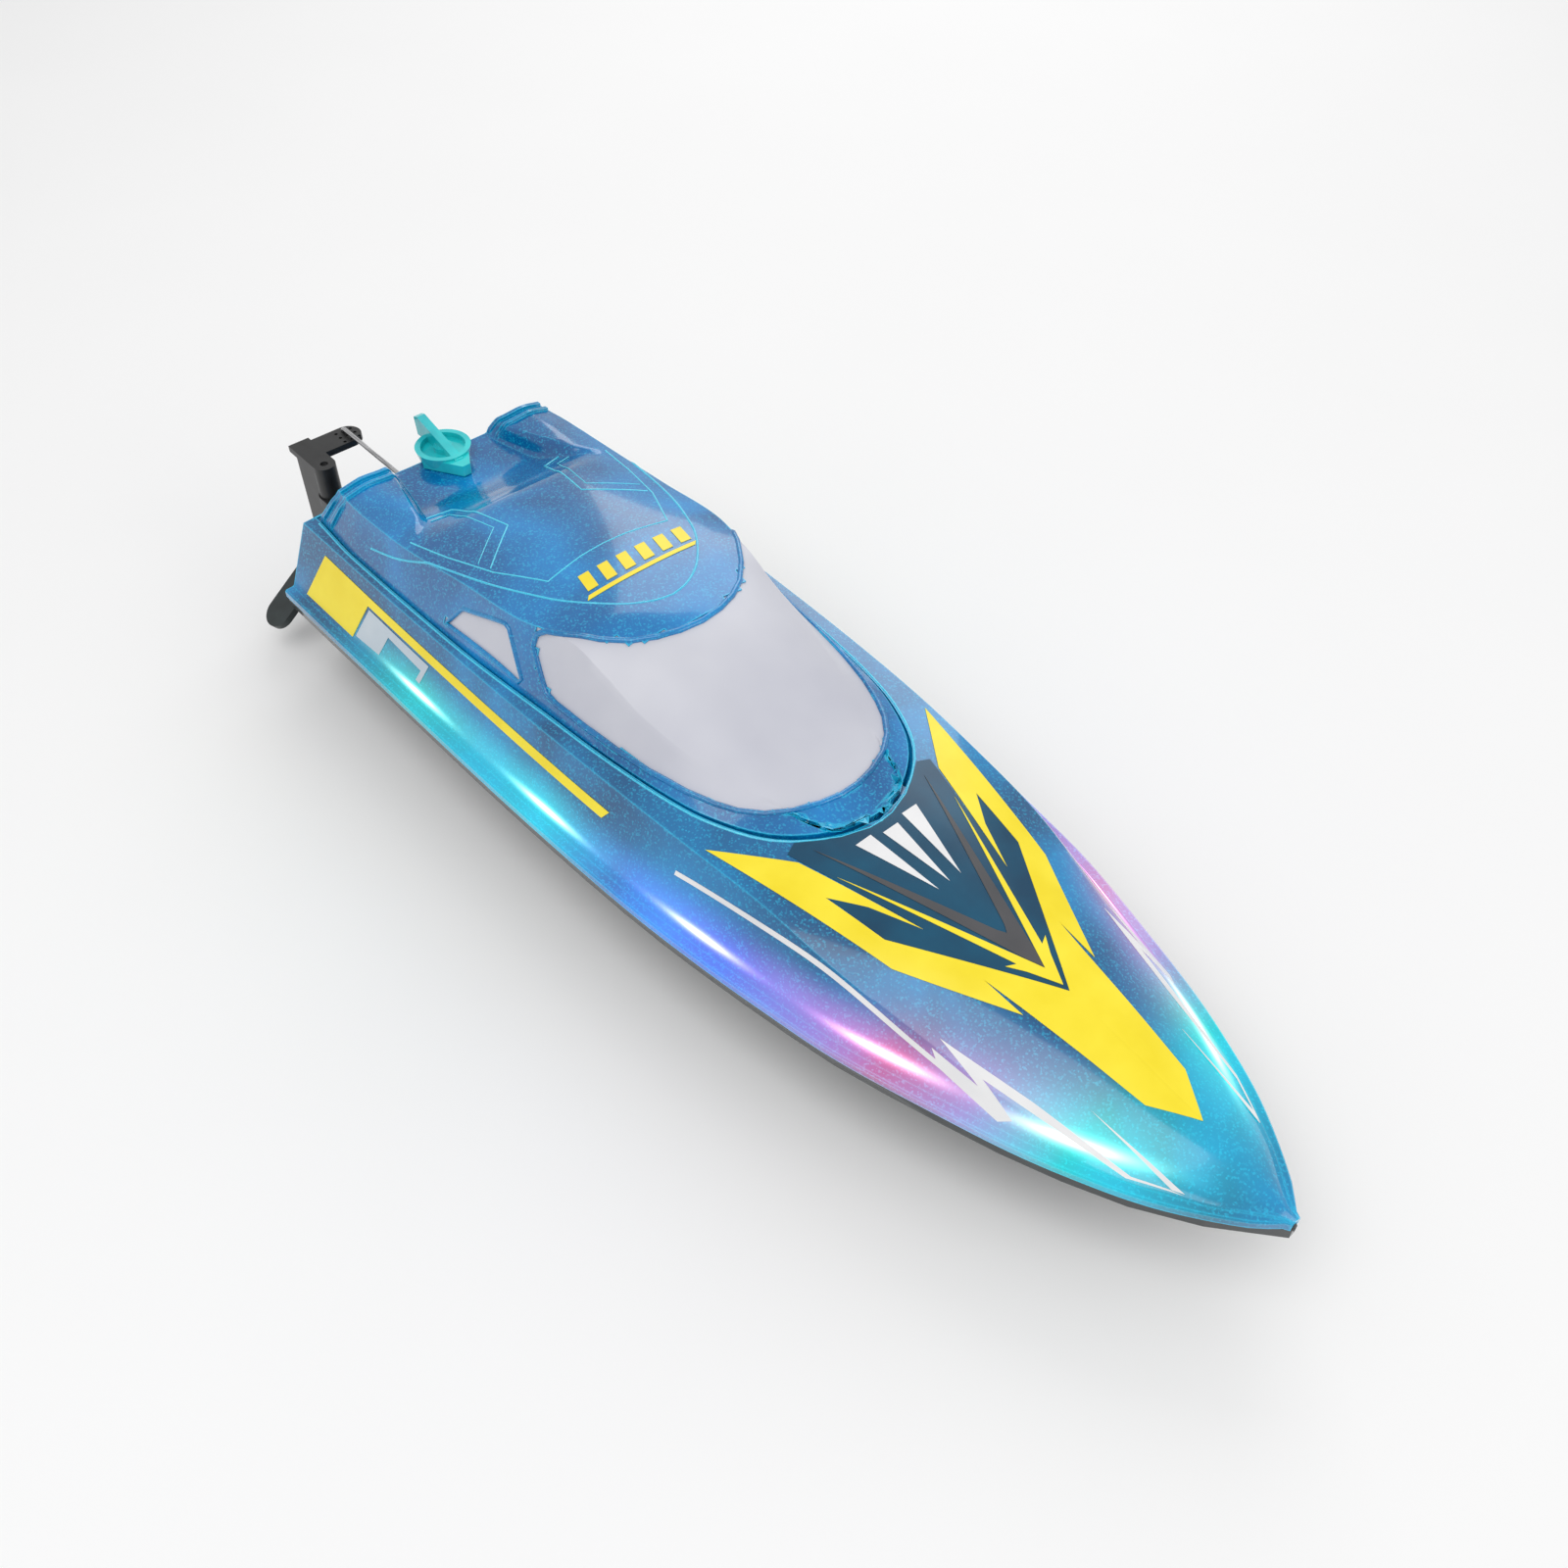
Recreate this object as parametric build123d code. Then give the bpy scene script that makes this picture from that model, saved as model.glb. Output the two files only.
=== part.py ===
from build123d import *
import math
import os

os.makedirs("parts", exist_ok=True)

# Radio-controlled speed boat. +X to the bow, +Y to port, +Z up, millimetres.
# The origin is on the keel pad, amidships. A station is a distance forward of the transom.

# ---- driving dimensions ----
hull_length = 350.0
transom_x = -hull_length / 2
rail_z = 30.0            # joint between hull and deck
rim_height = 3.5         # upright rim at the top of the hull side
lip_height = 2.6         # upright lip at the deck's edge
ledge = 3.4              # narrow flange inside the lip
wall = 1.6               # moulded shell thickness
floor = 2.0              # hull bottom thickness
shelf_z = 53.2           # flat shelf that the cabin stands on
seam_gap = 0.35          # gap round the cabin
gap = 0.05               # radial running or assembly clearance

shaft_z = 15.2           # propeller shaft line
shaft_r = 1.25
tube_r = 2.5
prop_r = 12.3
motor_r = 12.2
motor_front = 76.0
shaft_end = 62.6         # forward end of the propeller shaft

tiller_z = 57.8          # top of the tiller plate
pivot = (-18.1, -28.6)   # rudder pivot: station, y
tiller_hole = (-30.6, -14.2)
rod_r = 0.75
rod_z = 59.2
servo_axis = (64.0, -28.6)

hatch_opening = (94.0, 168.0)
hatch_screw_spots = [(91.7, -16), (91.7, 16), (170.3, -16), (170.3, 16)]
latch_station = 11.0
bay_z = 62.2             # floor of the bay between the stern pods, at the stern

# half-breadth of the rail at each station
rail_plan = [(0, 59.4), (54, 59.2), (102, 58.9), (140, 58.1), (177, 56.4), (202, 54.0), (224, 51.0),
             (248, 46.9), (276, 39.2), (296, 32.9), (313, 25.9), (324, 20.4), (334, 13.9),
             (343, 7.0), (349, 1.4)]
# half-breadth of the cabin's seam, from the stern to its round front
seam_plan = [(0.8, 43.2), (27, 44.6), (60, 44.3), (90, 43.5), (120, 41.4), (152, 38.9), (178, 34.9),
             (192, 30.0), (201, 24.5), (208, 16.5), (212, 8.0)]
seam_tip = 213.5


def at(station, y, z):
    """Point given by its distance forward of the transom."""
    return (transom_x + station, y, z)


def fair(table, station):
    """Fair curve through a plan's entries: the values, without the station, at this station."""
    if station <= table[0][0]:
        return list(table[0][1:])
    if station >= table[-1][0]:
        return list(table[-1][1:])
    i = max(k for k, row in enumerate(table) if row[0] <= station)
    rows = [table[max(i - 1, 0)], table[i], table[i + 1], table[min(i + 2, len(table) - 1)]]
    span = rows[2][0] - rows[1][0]
    t = (station - rows[1][0]) / span
    values = []
    for before, v0, v1, after in list(zip(*rows))[1:]:
        m0 = (v1 - before) / (rows[2][0] - rows[0][0]) * span
        m1 = (after - v0) / (rows[3][0] - rows[1][0]) * span
        if (v1 - v0) * (v0 - before) <= 0:
            m0 = 0
        if (after - v1) * (v1 - v0) <= 0:
            m1 = 0
        values.append((2 * t ** 3 - 3 * t ** 2 + 1) * v0 + (t ** 3 - 2 * t ** 2 + t) * m0
                      + (3 * t ** 2 - 2 * t ** 3) * v1 + (t ** 3 - t ** 2) * m1)
    return values


def stations(first, last, step):
    """Evenly spaced stations, both ends among them."""
    count = max(round((last - first) / step), 1)
    return [first + (last - first) * k / count for k in range(count + 1)]


def outline(points):
    """Flat face inside a closed run of straight edges."""
    return make_face(Polyline(*points, close=True))


def section(station, half):
    """Closed mirrored face at a station. half runs from the bottom edge up to the centreline."""
    starboard = [at(station, -y, z) for y, z in half]
    port = [at(station, y, z) for y, z in half[:-1]]
    return outline(starboard + port[::-1])


def crown(edge, middle, top, inset=0.0):
    """Points of a rounded top from its edge to the centreline, through a point half-way."""
    (y0, z0), (y1, z1) = edge, middle
    drop = max(top - z0, 0.05)
    rise = min(max((top - z1) / drop, 0.02), 0.9)
    power = max(math.log(rise) / math.log(min(y1 / y0, 0.9)), 1.2)
    share = [1, 0.78, 0.52, 0.26, 0]
    return [(y0 * u - 0.4 * inset * u, top - drop * u ** power - inset) for u in share]


def plan_outline(plan, tip, inset, z):
    """Closed plan outline with a round front, drawn inside the plan by inset."""
    inside = [(s, y - inset) for s, y in plan if y - inset > 2]
    port = [at(s, y, z) for s, y in inside]
    starboard = [at(s, -y, z) for s, y in inside]
    curve = Spline(*port, at(tip - inset, 0, z), *reversed(starboard))
    return make_face([curve, Line(starboard[0], port[0])])


def plug(plan, tip, inset, low, high):
    """Upright prism over a plan outline."""
    return extrude(plan_outline(plan, tip, inset, low), high - low, dir=(0, 0, 1))


def box(s0, s1, y0, y1, z0, z1):
    """Box between two stations, widths and heights."""
    size = (s1 - s0, y1 - y0, z1 - z0)
    return Pos(transom_x + (s0 + s1) / 2, (y0 + y1) / 2, (z0 + z1) / 2) * Box(*size)


def rod_x(s0, s1, y, z, r):
    """Cylinder along X between two stations."""
    return Pos(transom_x + (s0 + s1) / 2, y, z) * Rot(0, 90, 0) * Cylinder(r, s1 - s0)


def rod_up(station, y, z0, z1, r):
    """Upright cylinder."""
    return Pos(transom_x + station, y, (z0 + z1) / 2) * Cylinder(r, z1 - z0)


# ---- hull and deck ----

# station, chine half-breadth and height, keel pad half-width, keel height
hull_stations = [(0, 50.0, 12.0, 20.0, 0.0), (60, 49.5, 12.0, 20.0, 0.0), (130, 48.0, 12.5, 19.0, 0.0),
                 (190, 43.0, 13.5, 16.0, 0.0), (240, 34.0, 16.0, 10.0, 2.0), (280, 23.5, 19.0, 6.0, 6.0),
                 (310, 14.0, 22.0, 3.0, 12.0), (334, 6.0, 24.5, 1.4, 19.0), (349, 0.7, 27.2, 0.3, 26.6)]

# station, shoulder half-breadth and height, crown half-breadth and height, height on the centreline
deck_stations = [(0, 47.4, 53.4, 25.0, 54.6, 55.0), (60, 47.2, 53.6, 25.0, 55.4, 56.0),
                 (130, 45.4, 53.6, 25.0, 56.2, 57.0), (180, 42.6, 53.2, 24.0, 55.6, 56.4),
                 (212, 39.6, 51.4, 22.0, 54.2, 55.0), (236, 37.6, 47.6, 19.0, 52.0, 52.8),
                 (264, 32.6, 41.2, 15.0, 48.3, 49.6), (290, 27.6, 36.8, 13.0, 44.2, 46.2),
                 (312, 20.4, 34.8, 9.5, 40.2, 42.0), (332, 11.0, 33.6, 5.5, 36.6, 38.0),
                 (349, 0.75, 32.95, 0.4, 33.1, 33.3)]


def hull_body(inset):
    """Loft of the hull, inset by a wall thickness."""
    faces = []
    for s in stations(0, 349, 14.5):
        chine_y, chine_z, pad_y, keel_z = fair(hull_stations, s)
        b = fair(rail_plan, s)[0] - 0.5
        thin = min(inset, b * 0.5)
        lift = inset * floor / wall
        chine = max(chine_y - 1.2 * thin, 0.3)
        pad = max(pad_y - 0.3 * thin, 0.12)
        half = [(b - thin, rail_z), (b - thin, rail_z - rim_height), (chine, chine_z + 0.6 * lift),
                (pad, keel_z + lift)]
        faces.append(outline([at(s, -y, z) for y, z in half] + [at(s, y, z) for y, z in half[::-1]]))
    return loft(faces, ruled=True)


def deck_body(inset):
    """Loft of the deck, inset by a wall thickness."""
    faces = []
    for s in stations(0, 349, 14.5):
        side_y, side_z, crown_y, crown_z, top_z = fair(deck_stations, s)
        b = fair(rail_plan, s)[0]
        thin = min(inset, b * 0.4)
        step = rail_z + lip_height - 0.9 * thin
        foot = side_y + (b - ledge - side_y) * 0.96 if b - ledge > side_y else side_y + 0.1
        half = [(b - thin, rail_z), (b - thin, step), (foot - 0.9 * thin, step + 0.5)]
        half += crown((side_y - 0.8 * thin, side_z), (crown_y, crown_z), top_z, thin)
        faces.append(section(s, half))
    return loft(faces, ruled=True)


def make_hull():
    inner = hull_body(wall) & box(floor, 346, -60, 60, -1, 60)
    hull = hull_body(0) - inner
    hull -= rod_x(-5, 10, 0, shaft_z, tube_r + gap)
    for s in (188, 194):
        hull -= rod_up(s, 0, -1, 6, 1.0)
    for y in (-7, 7):
        hull -= rod_x(-1, 4, pivot[1] + y, 28, 1.2 + gap)
    for y in (-47, -42, 42, 47):
        hull -= rod_x(-1, 4, y, 18.2, 1.15 + gap)
    return hull


def make_deck():
    deck = deck_body(0)
    deck -= deck_body(wall) & box(wall, 345, -60, 60, 0, 80)
    # the cabin stands in a recess with a flat shelf below it
    shelf = plug(seam_plan, seam_tip, 0, shelf_z - wall, shelf_z) & deck_body(0)
    deck -= plug(seam_plan, seam_tip, 0, shelf_z - wall, 90)
    deck += shelf & box(0, 214, -60, 60, 0, 60)
    deck -= box(*hatch_opening, -23, 23, 45, 60)
    deck -= box(47, 70.8, -35.2, -22.0, 45, 60)                # servo cut-out
    deck -= box(latch_station - 5.4, latch_station + 5.4, -2, 2, 45, 60)
    deck -= rod_up(latch_station, 0, 45, 60, 2.6)
    for y in (-7, 7):
        deck -= rod_x(-1, 4, pivot[1] + y, 46, 1.2 + gap)
    for s, y in hatch_screw_spots:
        deck -= rod_up(s, y, 45, 60, 1.0 + gap)
    return deck


# ---- cabin ----

# station, roof edge half-breadth and height, crown half-breadth and height, centre height
cabin_stations = [(-2, 37.6, 65.6, 20, 67.2, 67.6), (22, 38.6, 66.2, 20, 68.3, 68.8),
                  (50, 38.4, 67.8, 20, 71.4, 72.4), (80, 36.6, 71.4, 19, 74.9, 75.9),
                  (105, 35.6, 74.2, 18, 77.2, 78.1), (124, 31.5, 75.8, 16, 78.3, 79.0),
                  (138, 30.2, 71.4, 15, 77.0, 78.0), (152, 29.6, 66.6, 15, 73.6, 75.0),
                  (172, 26.0, 61.6, 13, 66.8, 68.2), (190, 20.0, 58.2, 10, 61.0, 61.8),
                  (204, 14.5, 55.7, 7, 56.8, 57.1), (216, 8.0, 54.0, 4, 54.2, 54.3)]


def cabin_body(inset):
    """Loft of the cabin before its seam is cut, inset by a wall thickness."""
    faces = []
    for s in stations(-2, 216, 8.0):
        edge_y, edge_z, crown_y, crown_z, top_z = fair(cabin_stations, s)
        b = max(fair(seam_plan, s)[0], edge_y + 3)
        foot_z = shelf_z - 4 * inset        # the hollow runs out through the open base
        half = [(b - inset, foot_z), (b - 0.25 - inset, foot_z + 0.6)]
        half += crown((edge_y - 0.6 * inset, edge_z), (crown_y, crown_z), top_z, inset)
        faces.append(section(s, half))
    return loft(faces, ruled=True)


def stern_slope(back):
    """Everything behind the raked stern face, which leans forward as it rises."""
    low = at(0.9 + back, 0, 50)
    high = at(0.9 + back + 9.6, 0, 66.5)
    top = at(0.9 + back + 9.6, 0, 90)
    far = at(-30, 0, 90)
    near = at(-30, 0, 50)
    return Pos(0, 60, 0) * extrude(outline([low, high, top, far, near]), 120, dir=(0, -1, 0))


def stern_bay(depth):
    """Hollow between the two stern pods, with a floor that rises to the roof."""
    profile = [at(-3, 0, bay_z - depth), at(25.5, 0, bay_z - depth), at(52, 0, 72.4 - depth), at(52, 0, 90),
               at(-3, 0, 90)]
    bay = Pos(0, 35, 0) * extrude(outline(profile), 70, dir=(0, -1, 0))
    plan = [at(-3, 17.2, 0), at(12, 18.4, 0), at(40, 24.5, 0), at(53, 33, 0)]
    plan += [at(53, -33, 0), at(40, -24.5, 0), at(12, -18.4, 0), at(-3, -17.2, 0)]
    sides = extrude(outline(plan), 95, dir=(0, 0, 1))
    return bay & sides


def screen_prism():
    """Prism seen from above that bounds the windscreen."""
    low = [(121, 42.5), (150, 40.0), (174, 34.2), (188, 26.8), (197, 17.6)]
    roof = [(112.5, 36.6), (127, 29.0), (137.5, 19.6), (142.5, 9.0)]
    base = 55.2
    front = [at(s, -y, base) for s, y in low] + [at(203, 0, base)] + [at(s, y, base) for s, y in low[::-1]]
    lip = [at(s, y, base) for s, y in roof] + [at(144, 0, base)] + [at(s, -y, base) for s, y in roof[::-1]]
    face = make_face([Spline(*front), Line(front[-1], lip[0]), Spline(*lip), Line(lip[-1], front[0])])
    return extrude(face, 40, dir=(0, 0, 1))


side_window_outline = [(73.5, 57.2), (79.5, 63.6), (101, 69.8), (110.4, 59.4), (108.6, 56.6)]


def window_prism(side):
    """Prism across one cabin side for the window."""
    face = outline([at(s, 20 * side, z) for s, z in side_window_outline])
    return extrude(face, 40, dir=(0, side, 0))


def make_cabin():
    """Cabin cover, then the windscreen and the two side windows that are let into it."""
    outer = cabin_body(0) & plug(seam_plan, seam_tip, seam_gap, shelf_z + 0.15, 90)
    outer -= stern_slope(0)
    outer -= stern_bay(0)
    inner = cabin_body(wall) & plug(seam_plan, seam_tip, seam_gap + wall, 40, 90)
    inner -= stern_slope(wall * 1.15)
    inner -= stern_bay(wall)
    cover = outer - inner
    panels = []
    for opening in (screen_prism(), window_prism(1), window_prism(-1)):
        panels.append(cover & opening)
        cover -= opening
    cover -= box(-4, 14, -23, -8, 50, bay_z - wall + 0.1)   # notch that clears the pushrod
    cover -= rod_up(latch_station, 0, 50, 80, 2.0 + gap)    # hole for the latch stem
    return cover, panels


# ---- latch ----

def make_latch():
    """Twist knob with a finger fin and a pointed nose, its stem with a cross bar, and the screw."""
    x = transom_x + latch_station
    low, high = bay_z + 0.3, bay_z + 4.8
    round_part = Pos(x, 0, (low + high) / 2) * Cone(7.8, 9.0, high - low)
    nose = outline([(x + 1, -8.6, low), (x + 13.5, -1.4, low), (x + 13.5, 1.4, low), (x + 1, 8.6, low)])
    knob = round_part + extrude(nose, high - low - 0.8, dir=(0, 0, 1))
    knob -= Pos(x, 0, high - 0.9) * Cylinder(7.2, 1.8)
    knob += Pos(x, 0, high - 1.0) * Cylinder(3.0, 2.0)
    fin = outline([(x - 13.0, 0, high - 1.8), (x - 13.6, 0, high + 4.6), (x - 11.4, 0, high + 5.4),
                   (x + 9.5, 0, high - 0.6), (x + 9.5, 0, high - 1.8)])
    knob += Pos(0, 1.5, 0) * extrude(fin, 3.0, dir=(0, -1, 0))
    knob -= rod_up(latch_station, 0, 50, high - 0.8, 1.0 + gap)
    stem = rod_up(latch_station, 0, 45.6, low - gap, 2.0)
    stem -= rod_up(latch_station, 0, 56, 80, 1.0 + gap)
    bar = Pos(x, 0, 47.4) * Box(10, 3.2, 3.6)
    screw = rod_up(latch_station, 0, 56.2, high - 1.6, 1.0)
    return knob, stem + bar, screw


# ---- rudder gear ----

def make_rudder():
    """Blade, forward boss and the tiller plate with its hole grid, all one moulding."""
    px, py = transom_x + pivot[0], pivot[1]
    hx, hy = transom_x + tiller_hole[0], tiller_hole[1]
    plate = 2.2
    back, front = px - 15.1, px - 5.4
    leg = Pos((px - 16.9 + px) / 2, py, tiller_z - plate / 2) * Box(16.9, 7.4, plate)
    arm = Pos((back + front) / 2, (py + hy) / 2, tiller_z - plate / 2) * Box(front - back, hy - py, plate)
    tip = Pos((back + front) / 2, hy, tiller_z - plate / 2) * Cylinder((front - back) / 2, plate)
    boss = rod_up(pivot[0], py, 46.3, tiller_z, 3.7)
    upper = Pos(px - 3.6, py, (46.3 + tiller_z) / 2) * Box(7.2, 3.6, tiller_z - 46.3)
    lower_boss = rod_up(pivot[0], py, 31.3, 42.4, 3.7)
    web = Pos(px - 3.6, py, (31.3 + 42.4) / 2) * Box(7.2, 3.0, 42.4 - 31.3)
    low_z = 4.0
    side = [(px - 16.9, 0, tiller_z), (px - 5.2, 0, tiller_z), (px - 5.2, 0, 26), (px - 9.4, 0, low_z),
            (px - 15.8, 0, low_z), (px - 16.9, 0, 9)]
    blade = Pos(0, py + 1.9, 0) * extrude(outline(side), 3.8, dir=(0, -1, 0))
    # both faces thin towards the leading edge below the tiller block
    wedge = outline([(px - 11, 1.95, 0), (px - 4, 1.95, 0), (px - 4, 0.55, 0)])
    for hand in (1, -1):
        cut = extrude(wedge if hand > 0 else mirror(wedge, Plane.XZ), 28.5, dir=(0, 0, 1))
        blade -= Pos(0, py, 0) * cut
    rudder = leg + arm + tip + boss + upper + lower_boss + web + blade
    rudder -= rod_up(pivot[0], py, 0, 80, 1.25 + gap)
    for row in range(3):
        for column in (-1, 0, 1):
            hole_x = hx + 2.9 * row
            rudder -= Pos(hole_x, hy + 2.7 * column, tiller_z) * Cylinder(0.55 if row or column else 0.85, 6)
    return rudder


def make_bracket():
    """Mounting plate on the transom with two pivot lugs."""
    py = pivot[1]
    plate = box(-2.6, -0.05, py - 9.5, py + 9.5, 24, 50)
    bracket = plate
    for low, high in ((42.7, 46.1), (27.6, 31.1)):
        bracket += box(pivot[0], -1, py - 4.2, py + 4.2, low, high)
        bracket += rod_up(pivot[0], py, low, high, 4.2)
    for side in (-1, 1):
        gusset = outline([at(-1, 0, 27.6), at(-13, 0, 27.6), at(-13, 0, 31), at(-6, 0, 43.5), at(-1, 0, 43.5)])
        bracket += Pos(0, py + side * 3.5 + 0.7, 0) * extrude(gusset, 1.4, dir=(0, -1, 0))
    bracket -= rod_up(pivot[0], py, 0, 60, 1.25)
    for y in (py - 7, py + 7):
        for z in (28, 46):
            bracket -= rod_x(-5, 5, y, z, 1.25)
    return bracket


def bolt_x(station, y, z, r, length, head_r, head):
    """Screw along X with its head aft."""
    return rod_x(station, station + length, y, z, r) + rod_x(station - head, station, y, z, head_r)


def make_pushrod():
    """Steel rod with a bend down at each end."""
    hx, hy = tiller_hole
    sx, sy = servo_axis[0], servo_axis[1] + (hy - pivot[1])
    r = 1.6
    path = FilletPolyline(at(hx, hy, rod_z - 4.4), at(hx, hy, rod_z), at(sx, sy, rod_z), at(sx, sy, rod_z - 3.6),
                          radius=r)
    return sweep(Plane(origin=path @ 0, z_dir=path % 0) * Circle(rod_r), path)


def make_servo():
    """Case with ears and output spline, and its horn."""
    sx, sy = servo_axis
    case = box(sx - 16.6, sx + 6.4, sy - 6.1, sy + 6.1, 33.0, 52.6)
    ears = box(sx - 21.2, sx + 11.0, sy - 6.1, sy + 6.1, 44.6, 46.6)
    tower = rod_up(sx, sy, 52.6, 55.2, 5.6) + rod_up(sx - 7, sy, 52.6, 55.2, 3.0)
    for end in (sx - 19.2, sx + 8.9):
        ears -= rod_up(end, sy, 40, 50, 1.0 + gap)
    spline = rod_up(sx, sy, 55.3, 57.6, 2.2)
    arm = tiller_hole[1] - pivot[1]
    horn = rod_up(sx, sy, 55.7, 57.7, 3.6)
    horn += Pos(transom_x + sx, sy + arm / 2, 56.7) * Box(4.4, arm, 2.0)
    # the eye is wide because the linkage is open at this pivot
    horn += rod_up(sx + 0.7, sy + arm, 55.7, 57.7, 3.8)
    horn -= rod_up(sx + 0.7, sy + arm, 50, 60, 2.3)
    horn -= spline
    hangers = []
    screws = []
    for end in (sx - 19.2, sx + 8.9):
        block = box(end - 2.0, end + 2.0, sy - 6.1, sy + 6.1, 46.65, shelf_z - wall - gap)
        hangers.append(block - rod_up(end, sy, 44, 50.5, 1.0 + gap))
        screws.append(rod_up(end, sy, 42.8, 50.0, 1.0) + rod_up(end, sy, 42.8, 44.55, 1.9))
    return case + ears + tower, horn, spline, Compound(children=hangers), Compound(children=screws)


# ---- drive line ----

def make_propeller():
    """Three twisted blades on a hub."""
    station = -13.0
    hub = rod_x(station - 5, station + 5, 0, shaft_z, 3.6)
    blades = None
    for k in range(3):
        faces = []
        for r, chord, pitch in ((2.6, 6.5, 62), (6.5, 9.5, 48), (10.0, 9.0, 38), (prop_r, 4.0, 32)):
            plane = Plane(origin=at(station, 0, shaft_z), x_dir=(1, 0, 0), z_dir=(0, 0, 1))
            profile = Rot(0, 0, pitch) * Ellipse(chord / 2, 0.8)
            faces.append(plane * (Pos(0, 0, r) * profile))
        blade = loft(faces)
        turned = blade.rotate(Axis(at(station, 0, shaft_z), (1, 0, 0)), 120 * k)
        blades = turned if blades is None else blades + turned
    return hub + blades - rod_x(-30, 10, 0, shaft_z, shaft_r + 0.02)


def make_motor():
    """Can, end bell and output shaft."""
    front, back = motor_front, motor_front + 31.0
    can = rod_x(front, back, 0, shaft_z, motor_r) + rod_x(front - 2.5, front, 0, shaft_z, 5.0)
    can -= rod_x(front - 5, back - 2, 0, shaft_z, 1.2 + gap)
    bell = rod_x(back + gap, back + 4, 0, shaft_z, 10.6) + rod_x(back + 4, back + 6.5, 0, shaft_z, 4.0)
    for side in (-1, 1):
        bell += box(back + 3, back + 9, 7 * side - 1.4, 7 * side + 1.4, shaft_z - 0.4, shaft_z + 0.4)
    shaft = rod_x(shaft_end + 0.8, back - 3, 0, shaft_z, 1.2)
    return can, bell, shaft


def cap_screw(station, y, low, seat, r, head_r, head):
    """Upright screw with its head on top of the seat."""
    return rod_up(station, y, low, seat + head, r) + rod_up(station, y, seat + gap, seat + head, head_r)


def make_motor_mount():
    """Saddle that carries the motor, the strap over it, and the strap's screws."""
    s0, s1 = motor_front + 3, motor_front + 28
    middle = (s0 + s1) / 2
    foot_y = 16.2
    saddle = box(s0, s1, -18.2, 18.2, floor + gap, 14) - rod_x(s0 - 5, s1 + 5, 0, shaft_z, motor_r + gap)
    strap = rod_x(middle - 5, middle + 5, 0, shaft_z, motor_r + 1.6)
    strap -= rod_x(middle - 6, middle + 6, 0, shaft_z, motor_r + 0.1)
    strap = strap & box(middle - 6, middle + 6, -20, 20, 14.1, 40)
    screws = []
    for side in (-1, 1):
        y = foot_y * side
        strap += box(middle - 5, middle + 5, y - 2.9, y + 2.0, 14.1, 15.7) if side > 0 else \
            box(middle - 5, middle + 5, y - 2.0, y + 2.9, 14.1, 15.7)
        screws.append(cap_screw(middle, y, 8, 15.7, 1.0, 1.8, 1.5))
    for side in (-1, 1):
        strap -= rod_up(middle, foot_y * side, 10, 20, 1.0 + gap)
        saddle -= rod_up(middle, foot_y * side, 6, 20, 1.0 + gap)
    return saddle, strap, Compound(children=screws)


# ---- lights ----

led_z = 28.8
led_run = [(24, 50.6), (100, 50.0), (150, 48.4), (200, 43.6), (246, 36.4), (284, 24.8), (310, 14.0)]
led_stations = (40, 75, 108, 140, 172, 202, 230, 258, 282, 302)


def make_led_strip(side):
    """Flexible light board along the inside of the rail, and the lamps on it."""
    inner = [at(s, side * (y - 0.8), led_z) for s, y in led_run]
    outer = [at(s, side * y, led_z) for s, y in led_run]
    board = extrude(outline(outer + inner[::-1]), 4.4, dir=(0, 0, 1))
    lamps = []
    for s in led_stations:
        (s0, y0), (s1, y1) = next((a, b) for a, b in zip(led_run, led_run[1:]) if a[0] <= s <= b[0])
        y = y0 + (y1 - y0) * (s - s0) / (s1 - s0)
        turn = math.degrees(math.atan2(y1 - y0, s1 - s0))
        lamp = Box(5, 1.4, 3.2)
        out = 0.75
        x = s - out * math.sin(math.radians(turn))
        y += out * math.cos(math.radians(turn))
        lamps.append(Pos(transom_x + x, side * y, led_z + 2.2) * Rot(0, 0, side * turn) * lamp)
    return board, Compound(children=lamps)


# ---- seals, hatch and electronics ----

def make_gasket():
    """Strip round the inside of the rail, across the joint of hull and deck."""
    rings = []
    for inset in (2.6, 4.0):
        side = [(s, fair(rail_plan, s)[0] - inset) for s in stations(inset + 3.2, 332, 14.5)]
        ring = [at(s, y, 28.6) for s, y in side] + [at(s, -y, 28.6) for s, y in side[::-1]]
        rings.append(extrude(outline(ring), 2.3, dir=(0, 0, 1)))
    return rings[0] - rings[1]


def make_hatch():
    """Inner hatch over the battery bay, its seal and screws."""
    s0, s1 = hatch_opening
    top = shelf_z + 2.7
    hatch = box(s0 - 5, s1 + 5, -26, 26, shelf_z + 1.1, top)
    hatch += box(s0 + 3, s1 - 3, -20, 20, shelf_z - 0.6, shelf_z + 1.2)
    seal = box(s0 - 4, s1 + 4, -25.5, 25.5, shelf_z + gap, shelf_z + 1.05) - box(s0, s1, -23, 23, 50, 60)
    screws = []
    for s, y in hatch_screw_spots:
        hatch -= rod_up(s, y, 50, 60, 1.0 + gap)
        seal -= rod_up(s, y, 50, 60, 1.0 + gap)
        screws.append(cap_screw(s, y, shelf_z - 3, top, 1.0, 1.9, 1.3))
    return hatch, seal, Compound(children=screws)


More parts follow.
